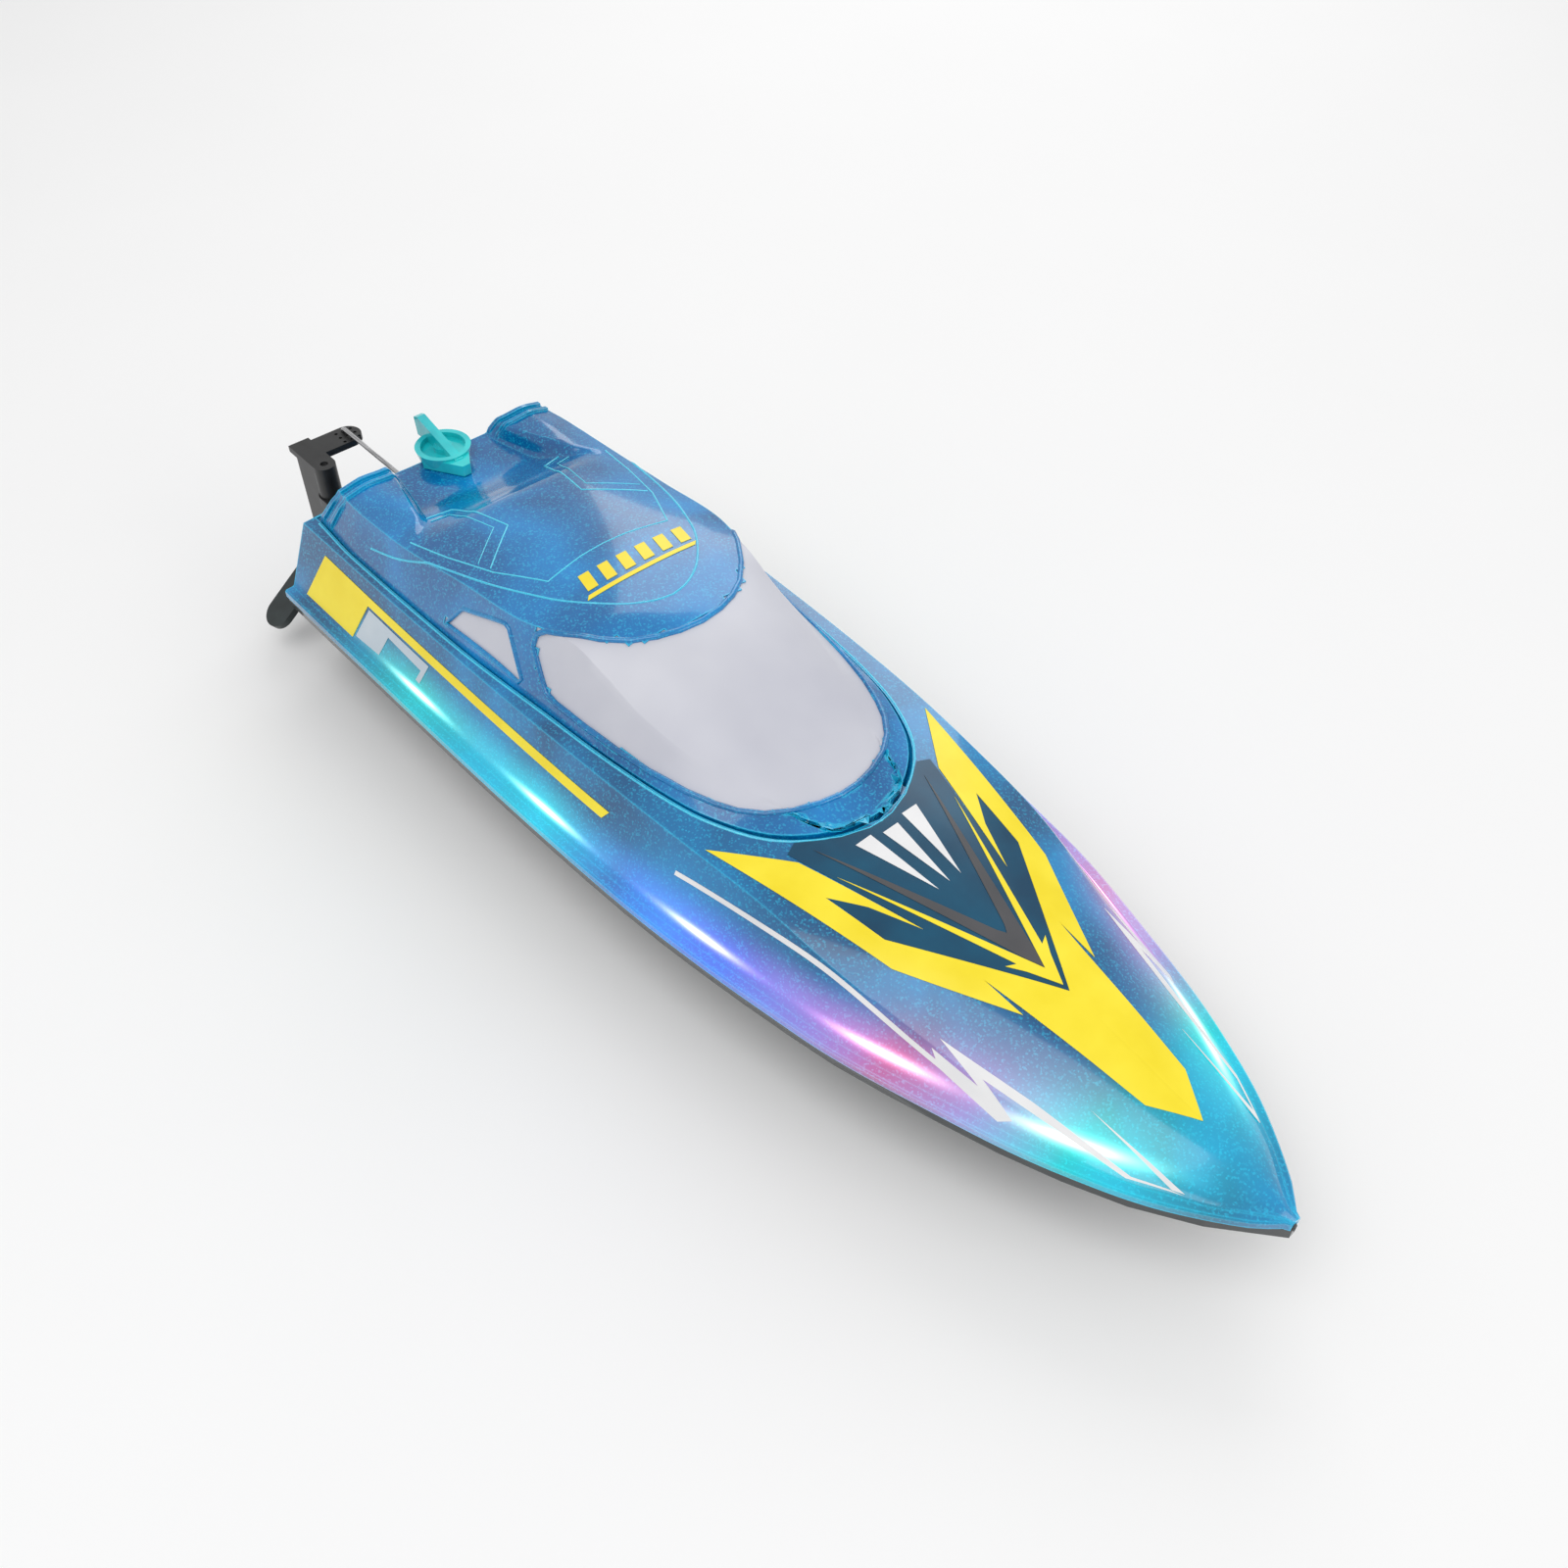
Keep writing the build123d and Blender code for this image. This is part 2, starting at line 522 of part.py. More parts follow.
def make_battery():
    """Battery pack, the tray it stands in, and the strap over it."""
    s0, s1 = 118.5, 186.5
    pack = box(s0 + 1, s1 - 1, -18.4, 18.4, 6.3, 25.2)
    pack = fillet(pack.edges().filter_by(Axis.X), 4)
    tray = box(s0, s1, -21.2, 21.2, 5.0, 6.2)
    tray += box(s0, s1, 20.0, 21.2, 6.2, 12) + box(s0, s1, -21.2, -20.0, 6.2, 12)
    tray += box(s0 - 1.2, s0, -21.2, 21.2, 5.0, 12)
    for s in (s0 + 6, s1 - 6):
        for y in (-11, 11):
            tray += rod_up(s, y, floor + gap, 5.1, 3)
    strap = box(146, 158, -19.8, 19.8, 6.25, 26.4) - box(145, 159, -18.5, 18.5, 6, 25.3)
    return pack, tray, strap


def make_control():
    """Case for the receiver and speed control, its lid and the board in it."""
    case = box(197, 235, -12, 12, 6.2, 15) - box(198.2, 233.8, -10.8, 10.8, 7.4, 16)
    lid = box(197, 235, -12, 12, 15.05, 16.4)
    board = box(199, 233, -10, 10, 9.0, 10.2) + box(204, 216, -6, 6, 10.2, 12.6) + box(220, 230, -8, 2, 10.2, 14)
    pad = box(199, 231, -8, 8, 4.2, 6.15)
    return case, lid, board, pad


def make_switch():
    """Slide switch on the shelf under the cabin."""
    body = box(28, 42, 24, 31, shelf_z + gap, shelf_z + 2.8) - box(31, 39, 25.9, 29.1, shelf_z + 1.6, 60)
    slider = box(31.1, 35.1, 26, 29, shelf_z + 1.7, shelf_z + 4.6)
    return body, slider


def make_fin(side):
    """Stabiliser: a foot on the transom and a tongue that slopes down and outboard from it."""
    thick = 2.4
    root_y, root_z = 41.0, 27.6
    # drawn flat as (station, distance down the slope), then tilted; the slope falls 3 in 5
    edge = [(-20, 0), (-0.1, 0), (-0.1, 5), (-9, 13), (-9, 22), (-20, 22)]
    flat = outline([(s, v, 0) for s, v in edge]) + Pos(-14.5, 22) * Circle(5.5)
    tongue = extrude(flat, thick, dir=(0, 0, -1))
    tongue = Pos(transom_x, root_y, root_z) * Rot(-math.degrees(math.asin(0.6)), 0, 0) * tongue
    foot = box(-2.3, -0.1, 39.5, 49.5, 15.5, 29)
    fin = tongue + foot
    for y in (42, 47):
        fin -= rod_x(-5, 2, y, 18.2, 1.2)
    return fin if side > 0 else mirror(fin, Plane.XZ)


def make_all():
    """Every sub-part by its name."""
    parts = {"hull_shell": make_hull(), "deck_shell": make_deck()}
    parts["rail_gasket"] = make_gasket()
    cover, panels = make_cabin()
    parts["cabin_cover"] = cover
    parts["windscreen"], parts["side_window_port"], parts["side_window_starboard"] = panels
    parts["latch_knob"], parts["latch_stem"], parts["latch_screw"] = make_latch()
    parts["inner_hatch"], parts["hatch_seal"], parts["hatch_screws"] = make_hatch()

    parts["rudder_blade"] = make_rudder()
    parts["rudder_bracket"] = make_bracket()
    parts["rudder_pin"] = rod_up(*pivot, 26.4, tiller_z - 1.2, 1.25)
    screws = [bolt_x(-2.65, pivot[1] + y, z, 1.2, 7.5, 2.3, 1.5) for y in (-7, 7) for z in (28, 46)]
    parts["bracket_screws"] = Compound(children=screws)
    parts["pushrod"] = make_pushrod()
    servo = make_servo()
    for name, piece in zip(("servo_case", "servo_horn", "servo_spline", "servo_hangers", "servo_screws"), servo):
        parts[name] = piece

    parts["propeller"] = make_propeller()
    nut = extrude(Plane(origin=at(-21.1, 0, shaft_z), z_dir=(1, 0, 0)) * RegularPolygon(2.6, 6), 3.0)
    parts["propeller_nut"] = nut - rod_x(-30, 0, 0, shaft_z, shaft_r + 0.02)
    parts["drive_shaft"] = rod_x(-22.5, shaft_end, 0, shaft_z, shaft_r)
    parts["stern_tube"] = rod_x(-7, 54, 0, shaft_z, tube_r) - rod_x(-8, 55, 0, shaft_z, 1.95)
    for name, s0 in (("tube_bush_aft", -7), ("tube_bush_forward", 46)):
        parts[name] = rod_x(s0, s0 + 8, 0, shaft_z, 1.93) - rod_x(s0 - 1, s0 + 9, 0, shaft_z, shaft_r + gap)
    cradle = box(28, 36, -6, 6, floor + gap, shaft_z + 4) - rod_x(20, 40, 0, shaft_z, tube_r + gap)
    parts["tube_cradle"] = cradle
    middle = shaft_end + 0.4
    coupling = rod_x(middle - 8, middle + 8, 0, shaft_z, 4.0)
    coupling -= rod_x(middle - 9, middle, 0, shaft_z, shaft_r + 0.02)
    coupling -= rod_x(middle, middle + 9, 0, shaft_z, 1.22)
    grubs = []
    for s in (middle - 4, middle + 4):
        coupling -= rod_up(s, 0, shaft_z, shaft_z + 5, 1.0)
        grubs.append(rod_up(s, 0, shaft_z + shaft_r + 0.1, shaft_z + 3.9, 0.97))
    parts["shaft_coupling"] = coupling
    parts["coupling_screws"] = Compound(children=grubs)
    parts["motor_can"], parts["motor_end_bell"], parts["motor_shaft"] = make_motor()
    parts["motor_saddle"], parts["motor_strap"], parts["strap_screws"] = make_motor_mount()

    parts["battery_pack"], parts["battery_tray"], parts["battery_strap"] = make_battery()
    parts["control_case"], parts["control_lid"], parts["control_board"], parts["control_pad"] = make_control()
    parts["switch_body"], parts["switch_slider"] = make_switch()
    parts["led_board_port"], parts["led_lamps_port"] = make_led_strip(1)
    parts["led_board_starboard"], parts["led_lamps_starboard"] = make_led_strip(-1)
    contacts = [rod_up(s, 0, 0.3, 7, 1.0 - gap) for s in (188, 194)]
    parts["water_contacts"] = Compound(children=contacts)
    bow = [at(248, 18, 22), at(300, 8, 22), at(300, -8, 22), at(248, -18, 22)]
    parts["bow_float"] = extrude(outline(bow), 11, dir=(0, 0, 1))

    parts["stabiliser_port"] = make_fin(1)
    parts["stabiliser_starboard"] = make_fin(-1)
    screws = [bolt_x(-2.35, y * side, 18.2, 1.15, 6, 2.1, 1.4) for side in (1, -1) for y in (42, 47)]
    parts["stabiliser_screws"] = Compound(children=screws)
    return parts


for name, piece in make_all().items():
    export_step(piece, f"parts/{name}.step")
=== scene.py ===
import math

import bpy
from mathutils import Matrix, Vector


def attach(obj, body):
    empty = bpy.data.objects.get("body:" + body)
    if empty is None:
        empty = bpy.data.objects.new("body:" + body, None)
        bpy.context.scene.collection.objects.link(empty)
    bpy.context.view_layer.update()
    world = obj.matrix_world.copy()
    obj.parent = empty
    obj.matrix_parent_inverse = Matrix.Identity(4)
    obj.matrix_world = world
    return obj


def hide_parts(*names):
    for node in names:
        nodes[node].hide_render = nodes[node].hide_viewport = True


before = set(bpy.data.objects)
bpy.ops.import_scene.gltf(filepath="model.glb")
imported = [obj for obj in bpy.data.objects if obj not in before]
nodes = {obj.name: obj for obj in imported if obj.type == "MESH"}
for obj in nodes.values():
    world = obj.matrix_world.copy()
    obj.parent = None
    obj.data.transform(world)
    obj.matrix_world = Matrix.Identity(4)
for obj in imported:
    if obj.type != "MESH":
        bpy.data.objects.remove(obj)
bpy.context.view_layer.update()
print("frame loaded")

mm = 0.001
transomX = -175.0   # station 0 in the row frame, mm
railZ = 30.0
shelfZ = 53.2

# half-breadth of the rail and of the cabin's seam at each station, mm
railPlan = [(0, 59.4), (54, 59.2), (102, 58.9), (140, 58.1), (177, 56.4), (202, 54.0), (224, 51.0),
            (248, 46.9), (276, 39.2), (296, 32.9), (313, 25.9), (324, 20.4), (334, 13.9), (343, 7.0),
            (349, 1.4)]
seamPlan = [(0.8, 43.2), (27, 44.6), (60, 44.3), (90, 43.5), (120, 41.4), (152, 38.9), (178, 34.9),
            (192, 30.0), (201, 24.5), (208, 16.5), (212, 8.0), (213.5, 0.6)]
# station, shoulder breadth and height, crown breadth and height, centre height
deckPlan = [(0, 47.4, 53.4, 25.0, 54.6, 55.0), (60, 47.2, 53.6, 25.0, 55.4, 56.0),
            (130, 45.4, 53.6, 25.0, 56.2, 57.0), (180, 42.6, 53.2, 24.0, 55.6, 56.4),
            (212, 39.6, 51.4, 22.0, 54.2, 55.0), (236, 37.6, 47.6, 19.0, 52.0, 52.8),
            (264, 32.6, 41.2, 15.0, 48.3, 49.6), (290, 27.6, 36.8, 13.0, 44.2, 46.2),
            (312, 20.4, 34.8, 9.5, 40.2, 42.0), (332, 11.0, 33.6, 5.5, 36.6, 38.0),
            (349, 0.75, 32.95, 0.4, 33.1, 33.3)]
cabinPlan = [(-2, 37.6, 65.6, 20, 67.2, 67.6), (22, 38.6, 66.2, 20, 68.3, 68.8),
             (50, 38.4, 67.8, 20, 71.4, 72.4), (80, 36.6, 71.4, 19, 74.9, 75.9),
             (105, 35.6, 74.2, 18, 77.2, 78.1), (124, 31.5, 75.8, 16, 78.3, 78.8),
             (138, 30.2, 71.4, 15, 77.0, 78.0), (152, 29.6, 66.6, 15, 73.6, 75.0),
             (172, 26.0, 61.6, 13, 66.8, 68.2), (190, 20.0, 58.2, 10, 61.0, 61.8),
             (204, 14.5, 56.2, 7, 57.0, 57.2), (216, 8.0, 55.0, 4, 55.2, 55.2)]


def fair(table, station):
    # smooth curve through the plan's entries
    if station <= table[0][0]:
        return list(table[0][1:])
    if station >= table[-1][0]:
        return list(table[-1][1:])
    i = max(k for k, row in enumerate(table) if row[0] <= station)
    rows = [table[max(i - 1, 0)], table[i], table[i + 1], table[min(i + 2, len(table) - 1)]]
    span = rows[2][0] - rows[1][0]
    t = (station - rows[1][0]) / span
    values = []
    for before, start, end, after in list(zip(*rows))[1:]:
        m0 = (end - before) / (rows[2][0] - rows[0][0]) * span
        m1 = (after - start) / (rows[3][0] - rows[1][0]) * span
        if (end - start) * (start - before) <= 0:
            m0 = 0
        if (after - end) * (end - start) <= 0:
            m1 = 0
        values.append((2 * t ** 3 - 3 * t ** 2 + 1) * start + (t ** 3 - 2 * t ** 2 + t) * m0
                      + (3 * t ** 2 - 2 * t ** 3) * end + (t ** 3 - t ** 2) * m1)
    return values


def smooth(t):
    t = min(max(t, 0.0), 1.0)
    return t * t * (3 - 2 * t)


def crownHeight(plan, station, y):
    # height of a rounded top at this breadth
    sideY, sideZ, crownY, crownZ, topZ = fair(plan, station)
    drop = max(topZ - sideZ, 0.05)
    rise = min(max((topZ - crownZ) / drop, 0.02), 0.9)
    power = max(math.log(rise) / math.log(min(crownY / sideY, 0.9)), 1.2)
    return topZ - drop * min(abs(y) / sideY, 1.0) ** power


def deckHeight(station, y):
    sideY, sideZ = fair(deckPlan, station)[:2]
    if abs(y) <= sideY:
        return crownHeight(deckPlan, station, y)
    foot = max(fair(railPlan, station)[0] - 3.4, sideY + 0.1)
    return sideZ + (33.1 - sideZ) * (abs(y) - sideY) / (foot - sideY)


# stern of the cabin: two rounded pods and the trough between them, mm
podShape = {"breadth": 30.5, "spread": 5.5, "rise": 1.6, "fadeFrom": 14, "fadeOver": 40}
bayShape = {"floor": 62.2, "ramp": 10.2, "rampFrom": 25.5, "rampOver": 34.0, "end": 60, "shoulder": 4.0,
            "blend": 1.2}


def bayFloor(station):
    # trough between the stern pods, which rises to the roof
    ramp = bayShape["ramp"] * smooth((station - bayShape["rampFrom"]) / bayShape["rampOver"])
    return bayShape["floor"] + ramp + 20 * smooth((station - 50) / 20)


def bayBreadth(station):
    return fair([(0, 17.2), (12, 18.4), (40, 24.5), (53, 33.0)], station)[0]


def skirtHeight(station):
    # the cabin's foot stands just proud of the deck along the seam
    return max(deckHeight(station, fair(seamPlan, station)[0]) + 0.3, shelfZ + 0.4)


def cabinHeight(station, y):
    sideY, sideZ = fair(cabinPlan, station)[:2]
    seam = fair(seamPlan, station)[0] - 0.35
    if abs(y) <= sideY:
        height = crownHeight(cabinPlan, station, y)
        fade = 1 - smooth((station - podShape["fadeFrom"]) / podShape["fadeOver"])
        bulge = math.exp(-((abs(y) - podShape["breadth"]) / podShape["spread"]) ** 2)
        height += podShape["rise"] * (bulge * fade)
        if station < bayShape["end"] and abs(y) < bayBreadth(station) + bayShape["shoulder"]:
            share = smooth((abs(y) - bayBreadth(station)) / bayShape["shoulder"])
            blend = bayShape["blend"]
            low = -blend * math.log(math.exp(-bayFloor(station) / blend) + math.exp(-height / blend))
            height = low + (height - low) * share
        return height
    foot = max(seam, sideY + 3)
    footZ = skirtHeight(station)
    return sideZ + (footZ - sideZ) * (abs(y) - sideY) / (foot - sideY)


def place(station, y, z):
    return Vector(((transomX + station) * mm, y * mm, z * mm))


def linearColour(colour):
    # sRGB hex to linear
    parts = [int(colour[k:k + 2], 16) / 255 for k in (1, 3, 5)]
    return tuple(c / 12.92 if c <= 0.04045 else ((c + 0.055) / 1.055) ** 2.4 for c in parts) + (1.0,)


def addNode(tree, kind, inputs=None, **settings):
    node = tree.nodes.new(kind)
    for name, value in settings.items():
        setattr(node, name, value)
    for name, value in (inputs or {}).items():
        if isinstance(value, bpy.types.NodeSocket):
            tree.links.new(value, node.inputs[name])
        else:
            node.inputs[name].default_value = value
    return node


def newMaterial(name, **sockets):
    mat = bpy.data.materials.new(name)
    mat.use_nodes = True
    tree = mat.node_tree
    shader = next(n for n in tree.nodes if n.type == "BSDF_PRINCIPLED")
    for socket, value in sockets.items():
        shader.inputs[socket.replace("_", " ")].default_value = value
    coords = addNode(tree, "ShaderNodeTexCoord").outputs["Object"]
    return mat, tree, shader, coords


def rampNode(tree, factor, stops):
    ramp = addNode(tree, "ShaderNodeValToRGB", {"Fac": factor})
    bar = ramp.color_ramp
    bar.elements[0].position, bar.elements[0].color = stops[0][0], linearColour(stops[0][1])
    bar.elements[1].position, bar.elements[1].color = stops[-1][0], linearColour(stops[-1][1])
    for position, colour in stops[1:-1]:
        bar.elements.new(position).color = linearColour(colour)
    return ramp.outputs["Color"]


def mottled(name, dark, light, grain, bump=0.1, depth=0.05, **sockets):
    # colour that varies gently over the surface, with a fine moulded or cast texture; grain in mm
    mat, tree, shader, coords = newMaterial(name, **sockets)
    patch = addNode(tree, "ShaderNodeTexNoise",
                    {"Vector": coords, "Scale": 1000 / (grain * 14), "Detail": 3.0})
    colour = rampNode(tree, patch.outputs["Fac"], [(0.3, dark), (0.7, light)])
    tree.links.new(colour, shader.inputs["Base Color"])
    fine = addNode(tree, "ShaderNodeTexNoise", {"Vector": coords, "Scale": 1000 / grain, "Detail": 2.0})
    raised = addNode(tree, "ShaderNodeBump", {"Height": fine.outputs["Fac"], "Strength": bump,
                                              "Distance": depth * mm})
    tree.links.new(raised.outputs["Normal"], shader.inputs["Normal"])
    return mat


def paintedLampGlow(tree, coords, shader, strength):
    # painted glow: the light of the coloured lamps behind the side panels, painted into the panel's emission
    # as a long streak with a white core at each lamp
    lamps = [73.5, 137.4, 200.0, 257.0, 304.0]
    apart = addNode(tree, "ShaderNodeSeparateXYZ", {"Vector": coords})
    along = addNode(tree, "ShaderNodeMapRange", {"Value": apart.outputs["X"], "From Min": transomX * mm,
                                                 "From Max": -transomX * mm})
    tint = rampNode(tree, along.outputs["Result"], [(0.0, "#00B7D8"), (0.21, "#17E3C4"), (0.4, "#2BE6E2"),
                                                    (0.5, "#5C7BFF"), (0.6, "#7A5CFF"), (0.735, "#FF5F95"),
                                                    (0.80, "#D88CC0"), (0.87, "#18E8B0"), (1.0, "#00C8E0")])
    total = {}
    for part, sizeX, sizeZ, power in (("halo", 58, 12, 1.7), ("core", 34, 2.6, 3.0)):
        total[part] = None
        for station in lamps:
            shift = addNode(tree, "ShaderNodeMapping",
                            {"Vector": coords, "Location": place(station, 0, 35.5),
                             "Scale": (sizeX * mm, 4.0, sizeZ * mm)}, vector_type="TEXTURE")
            ball = addNode(tree, "ShaderNodeTexGradient", {"Vector": shift.outputs["Vector"]},
                           gradient_type="SPHERICAL")
            lit = addNode(tree, "ShaderNodeMath", {0: ball.outputs["Fac"], 1: power},
                          operation="POWER").outputs[0]
            if total[part] is not None:
                lit = addNode(tree, "ShaderNodeMath", {0: lit, 1: total[part]}, operation="ADD").outputs[0]
            total[part] = lit
    colour = addNode(tree, "ShaderNodeMix", {0: total["core"], 6: tint, 7: linearColour("#FFFFFF")},
                     data_type="RGBA",
                     clamp_factor=True)
    glow = addNode(tree, "ShaderNodeMath", {0: total["core"], 1: 4.0, 2: total["halo"]},
                   operation="MULTIPLY_ADD")
    level = addNode(tree, "ShaderNodeMath", {0: glow.outputs[0], 1: strength}, operation="MULTIPLY")
    tree.links.new(colour.outputs[2], shader.inputs["Emission Color"])
    tree.links.new(level.outputs[0], shader.inputs["Emission Strength"])


def flakeBlue(name, dark, light, edge, glow):
    # injection-moulded translucent polystyrene with metal flake: glossy, with a painted highlight along its
    # edges and painted glints on its flakes
    mat, tree, shader, coords = newMaterial(name, Roughness=0.16, IOR=1.55, Coat_Weight=0.5,
                                            Coat_Roughness=0.05)
    patch = addNode(tree, "ShaderNodeTexNoise", {"Vector": coords, "Scale": 1000 / 42, "Detail": 2.0,
                                                 "Distortion": 0.6})
    body = rampNode(tree, patch.outputs["Fac"], [(0.36, dark), (0.66, light)])
    # flakes are under 0.2 mm; drawn at 0.45 mm so that they show
    flake = addNode(tree, "ShaderNodeTexVoronoi", {"Vector": coords, "Scale": 1000 / 0.45})
    tone = addNode(tree, "ShaderNodeSeparateColor", {"Color": flake.outputs["Color"]})
    # the flakes' lighter specks: partly the flakes' own tone, partly painted glint
    glintMask = addNode(tree, "ShaderNodeMapRange",
                    {"Value": tone.outputs["Red"], "From Min": 0.72, "From Max": 1.0,
                                                 "To Max": 0.42})
    withPaintedGlints = addNode(tree, "ShaderNodeMix", {0: glintMask.outputs["Result"], 6: body, 7: linearColour(edge)},
                       data_type="RGBA")
    # painted highlight: edges and creases, found from the bevel normal, turn to the light tint
    softEdge = addNode(tree, "ShaderNodeBevel", {"Radius": 1.1 * mm}, samples=6)
    flat = addNode(tree, "ShaderNodeNewGeometry")
    turn = addNode(tree, "ShaderNodeVectorMath", {0: softEdge.outputs["Normal"], 1: flat.outputs["Normal"]},
                   operation="DOT_PRODUCT")
    paintedEdgeHighlight = addNode(tree, "ShaderNodeMapRange",
                  {"Value": turn.outputs["Value"], "From Min": 0.985, "From Max": 0.86,
                                               "To Max": 0.85})
    edgeHighlighted = addNode(tree, "ShaderNodeMix",
                    {0: paintedEdgeHighlight.outputs["Result"], 6: withPaintedGlints.outputs[2], 7: linearColour(edge)},
                    data_type="RGBA")
    tree.links.new(edgeHighlighted.outputs[2], shader.inputs["Base Color"])
    lumps = addNode(tree, "ShaderNodeBump", {"Height": tone.outputs["Green"], "Strength": 0.12,
                                             "Distance": 0.02 * mm})
    tree.links.new(lumps.outputs["Normal"], shader.inputs["Normal"])
    # painted glow of the lamps behind the panel, laid into its emission
    if glow:
        paintedLampGlow(tree, coords, shader, glow)
    return mat


def brushed(name, dark, light, pitch, roughness, axis=(1, 0, 0)):
    # drawn or turned metal: fine scratches along its length
    mat, tree, shader, coords = newMaterial(name, Metallic=1.0, Roughness=roughness)
    squeeze = tuple(0.06 if a else 1.0 for a in axis)
    along = addNode(tree, "ShaderNodeMapping", {"Vector": coords, "Scale": squeeze})
    lines = addNode(tree, "ShaderNodeTexNoise", {"Vector": along.outputs["Vector"], "Scale": 1000 / pitch,
                                                 "Detail": 2.0})
    colour = rampNode(tree, lines.outputs["Fac"], [(0.3, dark), (0.7, light)])
    tree.links.new(colour, shader.inputs["Base Color"])
    raised = addNode(tree, "ShaderNodeBump", {"Height": lines.outputs["Fac"], "Strength": 0.15,
                                              "Distance": 0.01 * mm})
    tree.links.new(raised.outputs["Normal"], shader.inputs["Normal"])
    return mat


def woven(name, dark, light, pitch):
    # hook-and-loop tape: crossed threads
    mat, tree, shader, coords = newMaterial(name, Roughness=0.85, Sheen_Weight=0.4)
    bands = [addNode(tree, "ShaderNodeTexWave", {"Vector": coords, "Scale": 1000 / pitch / 6.28},
                     bands_direction=d).outputs["Fac"] for d in ("X", "Y")]
    cross = addNode(tree, "ShaderNodeMath", {0: bands[0], 1: bands[1]}, operation="MULTIPLY").outputs[0]
    tree.links.new(rampNode(tree, cross, [(0.1, dark), (0.9, light)]), shader.inputs["Base Color"])
    raised = addNode(tree, "ShaderNodeBump", {"Height": cross, "Strength": 0.6, "Distance": 0.1 * mm})
    tree.links.new(raised.outputs["Normal"], shader.inputs["Normal"])
    return mat


def lampLens(name, glow):
    # cast epoxy lamp, lit in the colour of its place along the hull
    mat, tree, shader, coords = newMaterial(name, Roughness=0.1, IOR=1.5)
    apart = addNode(tree, "ShaderNodeSeparateXYZ", {"Vector": coords})
    along = addNode(tree, "ShaderNodeMapRange", {"Value": apart.outputs["X"], "From Min": transomX * mm,
                                                 "From Max": -transomX * mm})
    tint = rampNode(tree, along.outputs["Result"], [(0.0, "#18E8D0"), (0.55, "#7A5CFF"), (0.75, "#FF5F95"),
                                                    (1.0, "#18E8B0")])
    tree.links.new(tint, shader.inputs["Base Color"])
    tree.links.new(tint, shader.inputs["Emission Color"])
    shader.inputs["Emission Strength"].default_value = glow
    return mat


# the deck's moulding carries the painted lamp glow in its emission
deckBlue = flakeBlue("flakedStyreneDeck", "#005486", "#0084C4", "#1CC4EE", 0.8)
cabinBlue = flakeBlue("flakedStyreneCabin", "#005C9A", "#0088D2", "#24CCF2", 0)
# painted highlight: a lighter copy of the flaked blue for the raised lines along the hood ridge, roof panel,
# hex grooves and shoulder crease, standing in for the light they catch
highlightCyan = flakeBlue("flakedStyreneHighlight", "#0A9FD6", "#19C2EE", "#5FF0FF", 0)
# glossy dark ABS hull, tinted by the lamps above it
hullGrey = mottled("mouldedAbsHull", "#1D2426", "#2B3436", 0.5, 0.05, Roughness=0.2, IOR=1.53,
                   Coat_Weight=0.3)
# pearl-painted styrene panes: soft broad gradient, low gloss
pearlPane = mottled("pearlPaintedPane", "#C3C4CF", "#D2D3DB", 3.0, 0.02, Roughness=0.32, IOR=1.5)
turquoise = mottled("mouldedStyreneTurquoise", "#12B4BE", "#2FE0E0", 0.9, 0.04, Roughness=0.2, IOR=1.55,
                    Coat_Weight=0.4)
blackNylon = mottled("mouldedNylonBlack", "#1A1A1B", "#262728", 0.35, 0.25, Roughness=0.42, IOR=1.53)
darkAbs = mottled("mouldedAbsDark", "#1E2526", "#2A3435", 0.4, 0.15, Roughness=0.4, IOR=1.53)
whiteNylon = mottled("mouldedNylonWhite", "#D8D6CE", "#E8E6E0", 0.5, 0.1, Roughness=0.4, IOR=1.53)
servoBlue = mottled("mouldedAbsServo", "#0A1E5A", "#12307C", 0.4, 0.15, Roughness=0.35, IOR=1.53)
siliconeBlack = mottled("castSiliconeSeal", "#0C0C0C", "#191919", 0.6, 0.3, Roughness=0.7, IOR=1.41)
batteryGreen = mottled("shrinkWrapGreen", "#0B5A30", "#14733F", 2.0, 0.25, Roughness=0.25, IOR=1.5)
foamWhite = mottled("closedCellFoam", "#D6D5CC", "#ECEBE4", 0.8, 0.8, 0.3, Roughness=0.9, IOR=1.4)
boardGreen = mottled("solderMaskBoard", "#0A4020", "#11603A", 1.2, 0.2, Roughness=0.3, IOR=1.5)
yellowVinyl = mottled("printedVinylYellow", "#F6DE1E", "#FFEA35", 1.0, 0.03, Roughness=0.3, IOR=1.5)
whiteVinyl = mottled("printedVinylWhite", "#E4E4E6", "#F0F0F0", 1.0, 0.03, Roughness=0.3, IOR=1.5)
greyVinyl = mottled("printedVinylGrey", "#46474A", "#515154", 1.0, 0.03, Roughness=0.3, IOR=1.5)
silverVinyl = mottled("printedVinylSilver", "#B9C6D2", "#C9D4DC", 1.0, 0.03, Roughness=0.3, IOR=1.5)
darkVinyl = mottled("printedVinylTeal", "#003E5C", "#00506F", 1.0, 0.03, Roughness=0.22, IOR=1.5)
steelRod = brushed("drawnSteelRod", "#9A9A9C", "#DADADC", 0.5, 0.22)
steelUpright = brushed("groundSteelPin", "#9A9A9C", "#CFCFD2", 0.5, 0.25, (0, 0, 1))
steelCan = brushed("platedSteelCan", "#7E7F82", "#B4B5B8", 0.6, 0.3)
zincScrew = brushed("zincPlatedScrew", "#8A8C90", "#B9BBBF", 0.5, 0.35, (0, 0, 1))
brassTurned = brushed("turnedBrass", "#B08A3C", "#D9B560", 0.5, 0.28)
tapeBlack = woven("wovenHookTape", "#0B0B0C", "#1D1D1F", 0.8)
lampClear = lampLens("castEpoxyLamp", 2.0)
print("materials made")


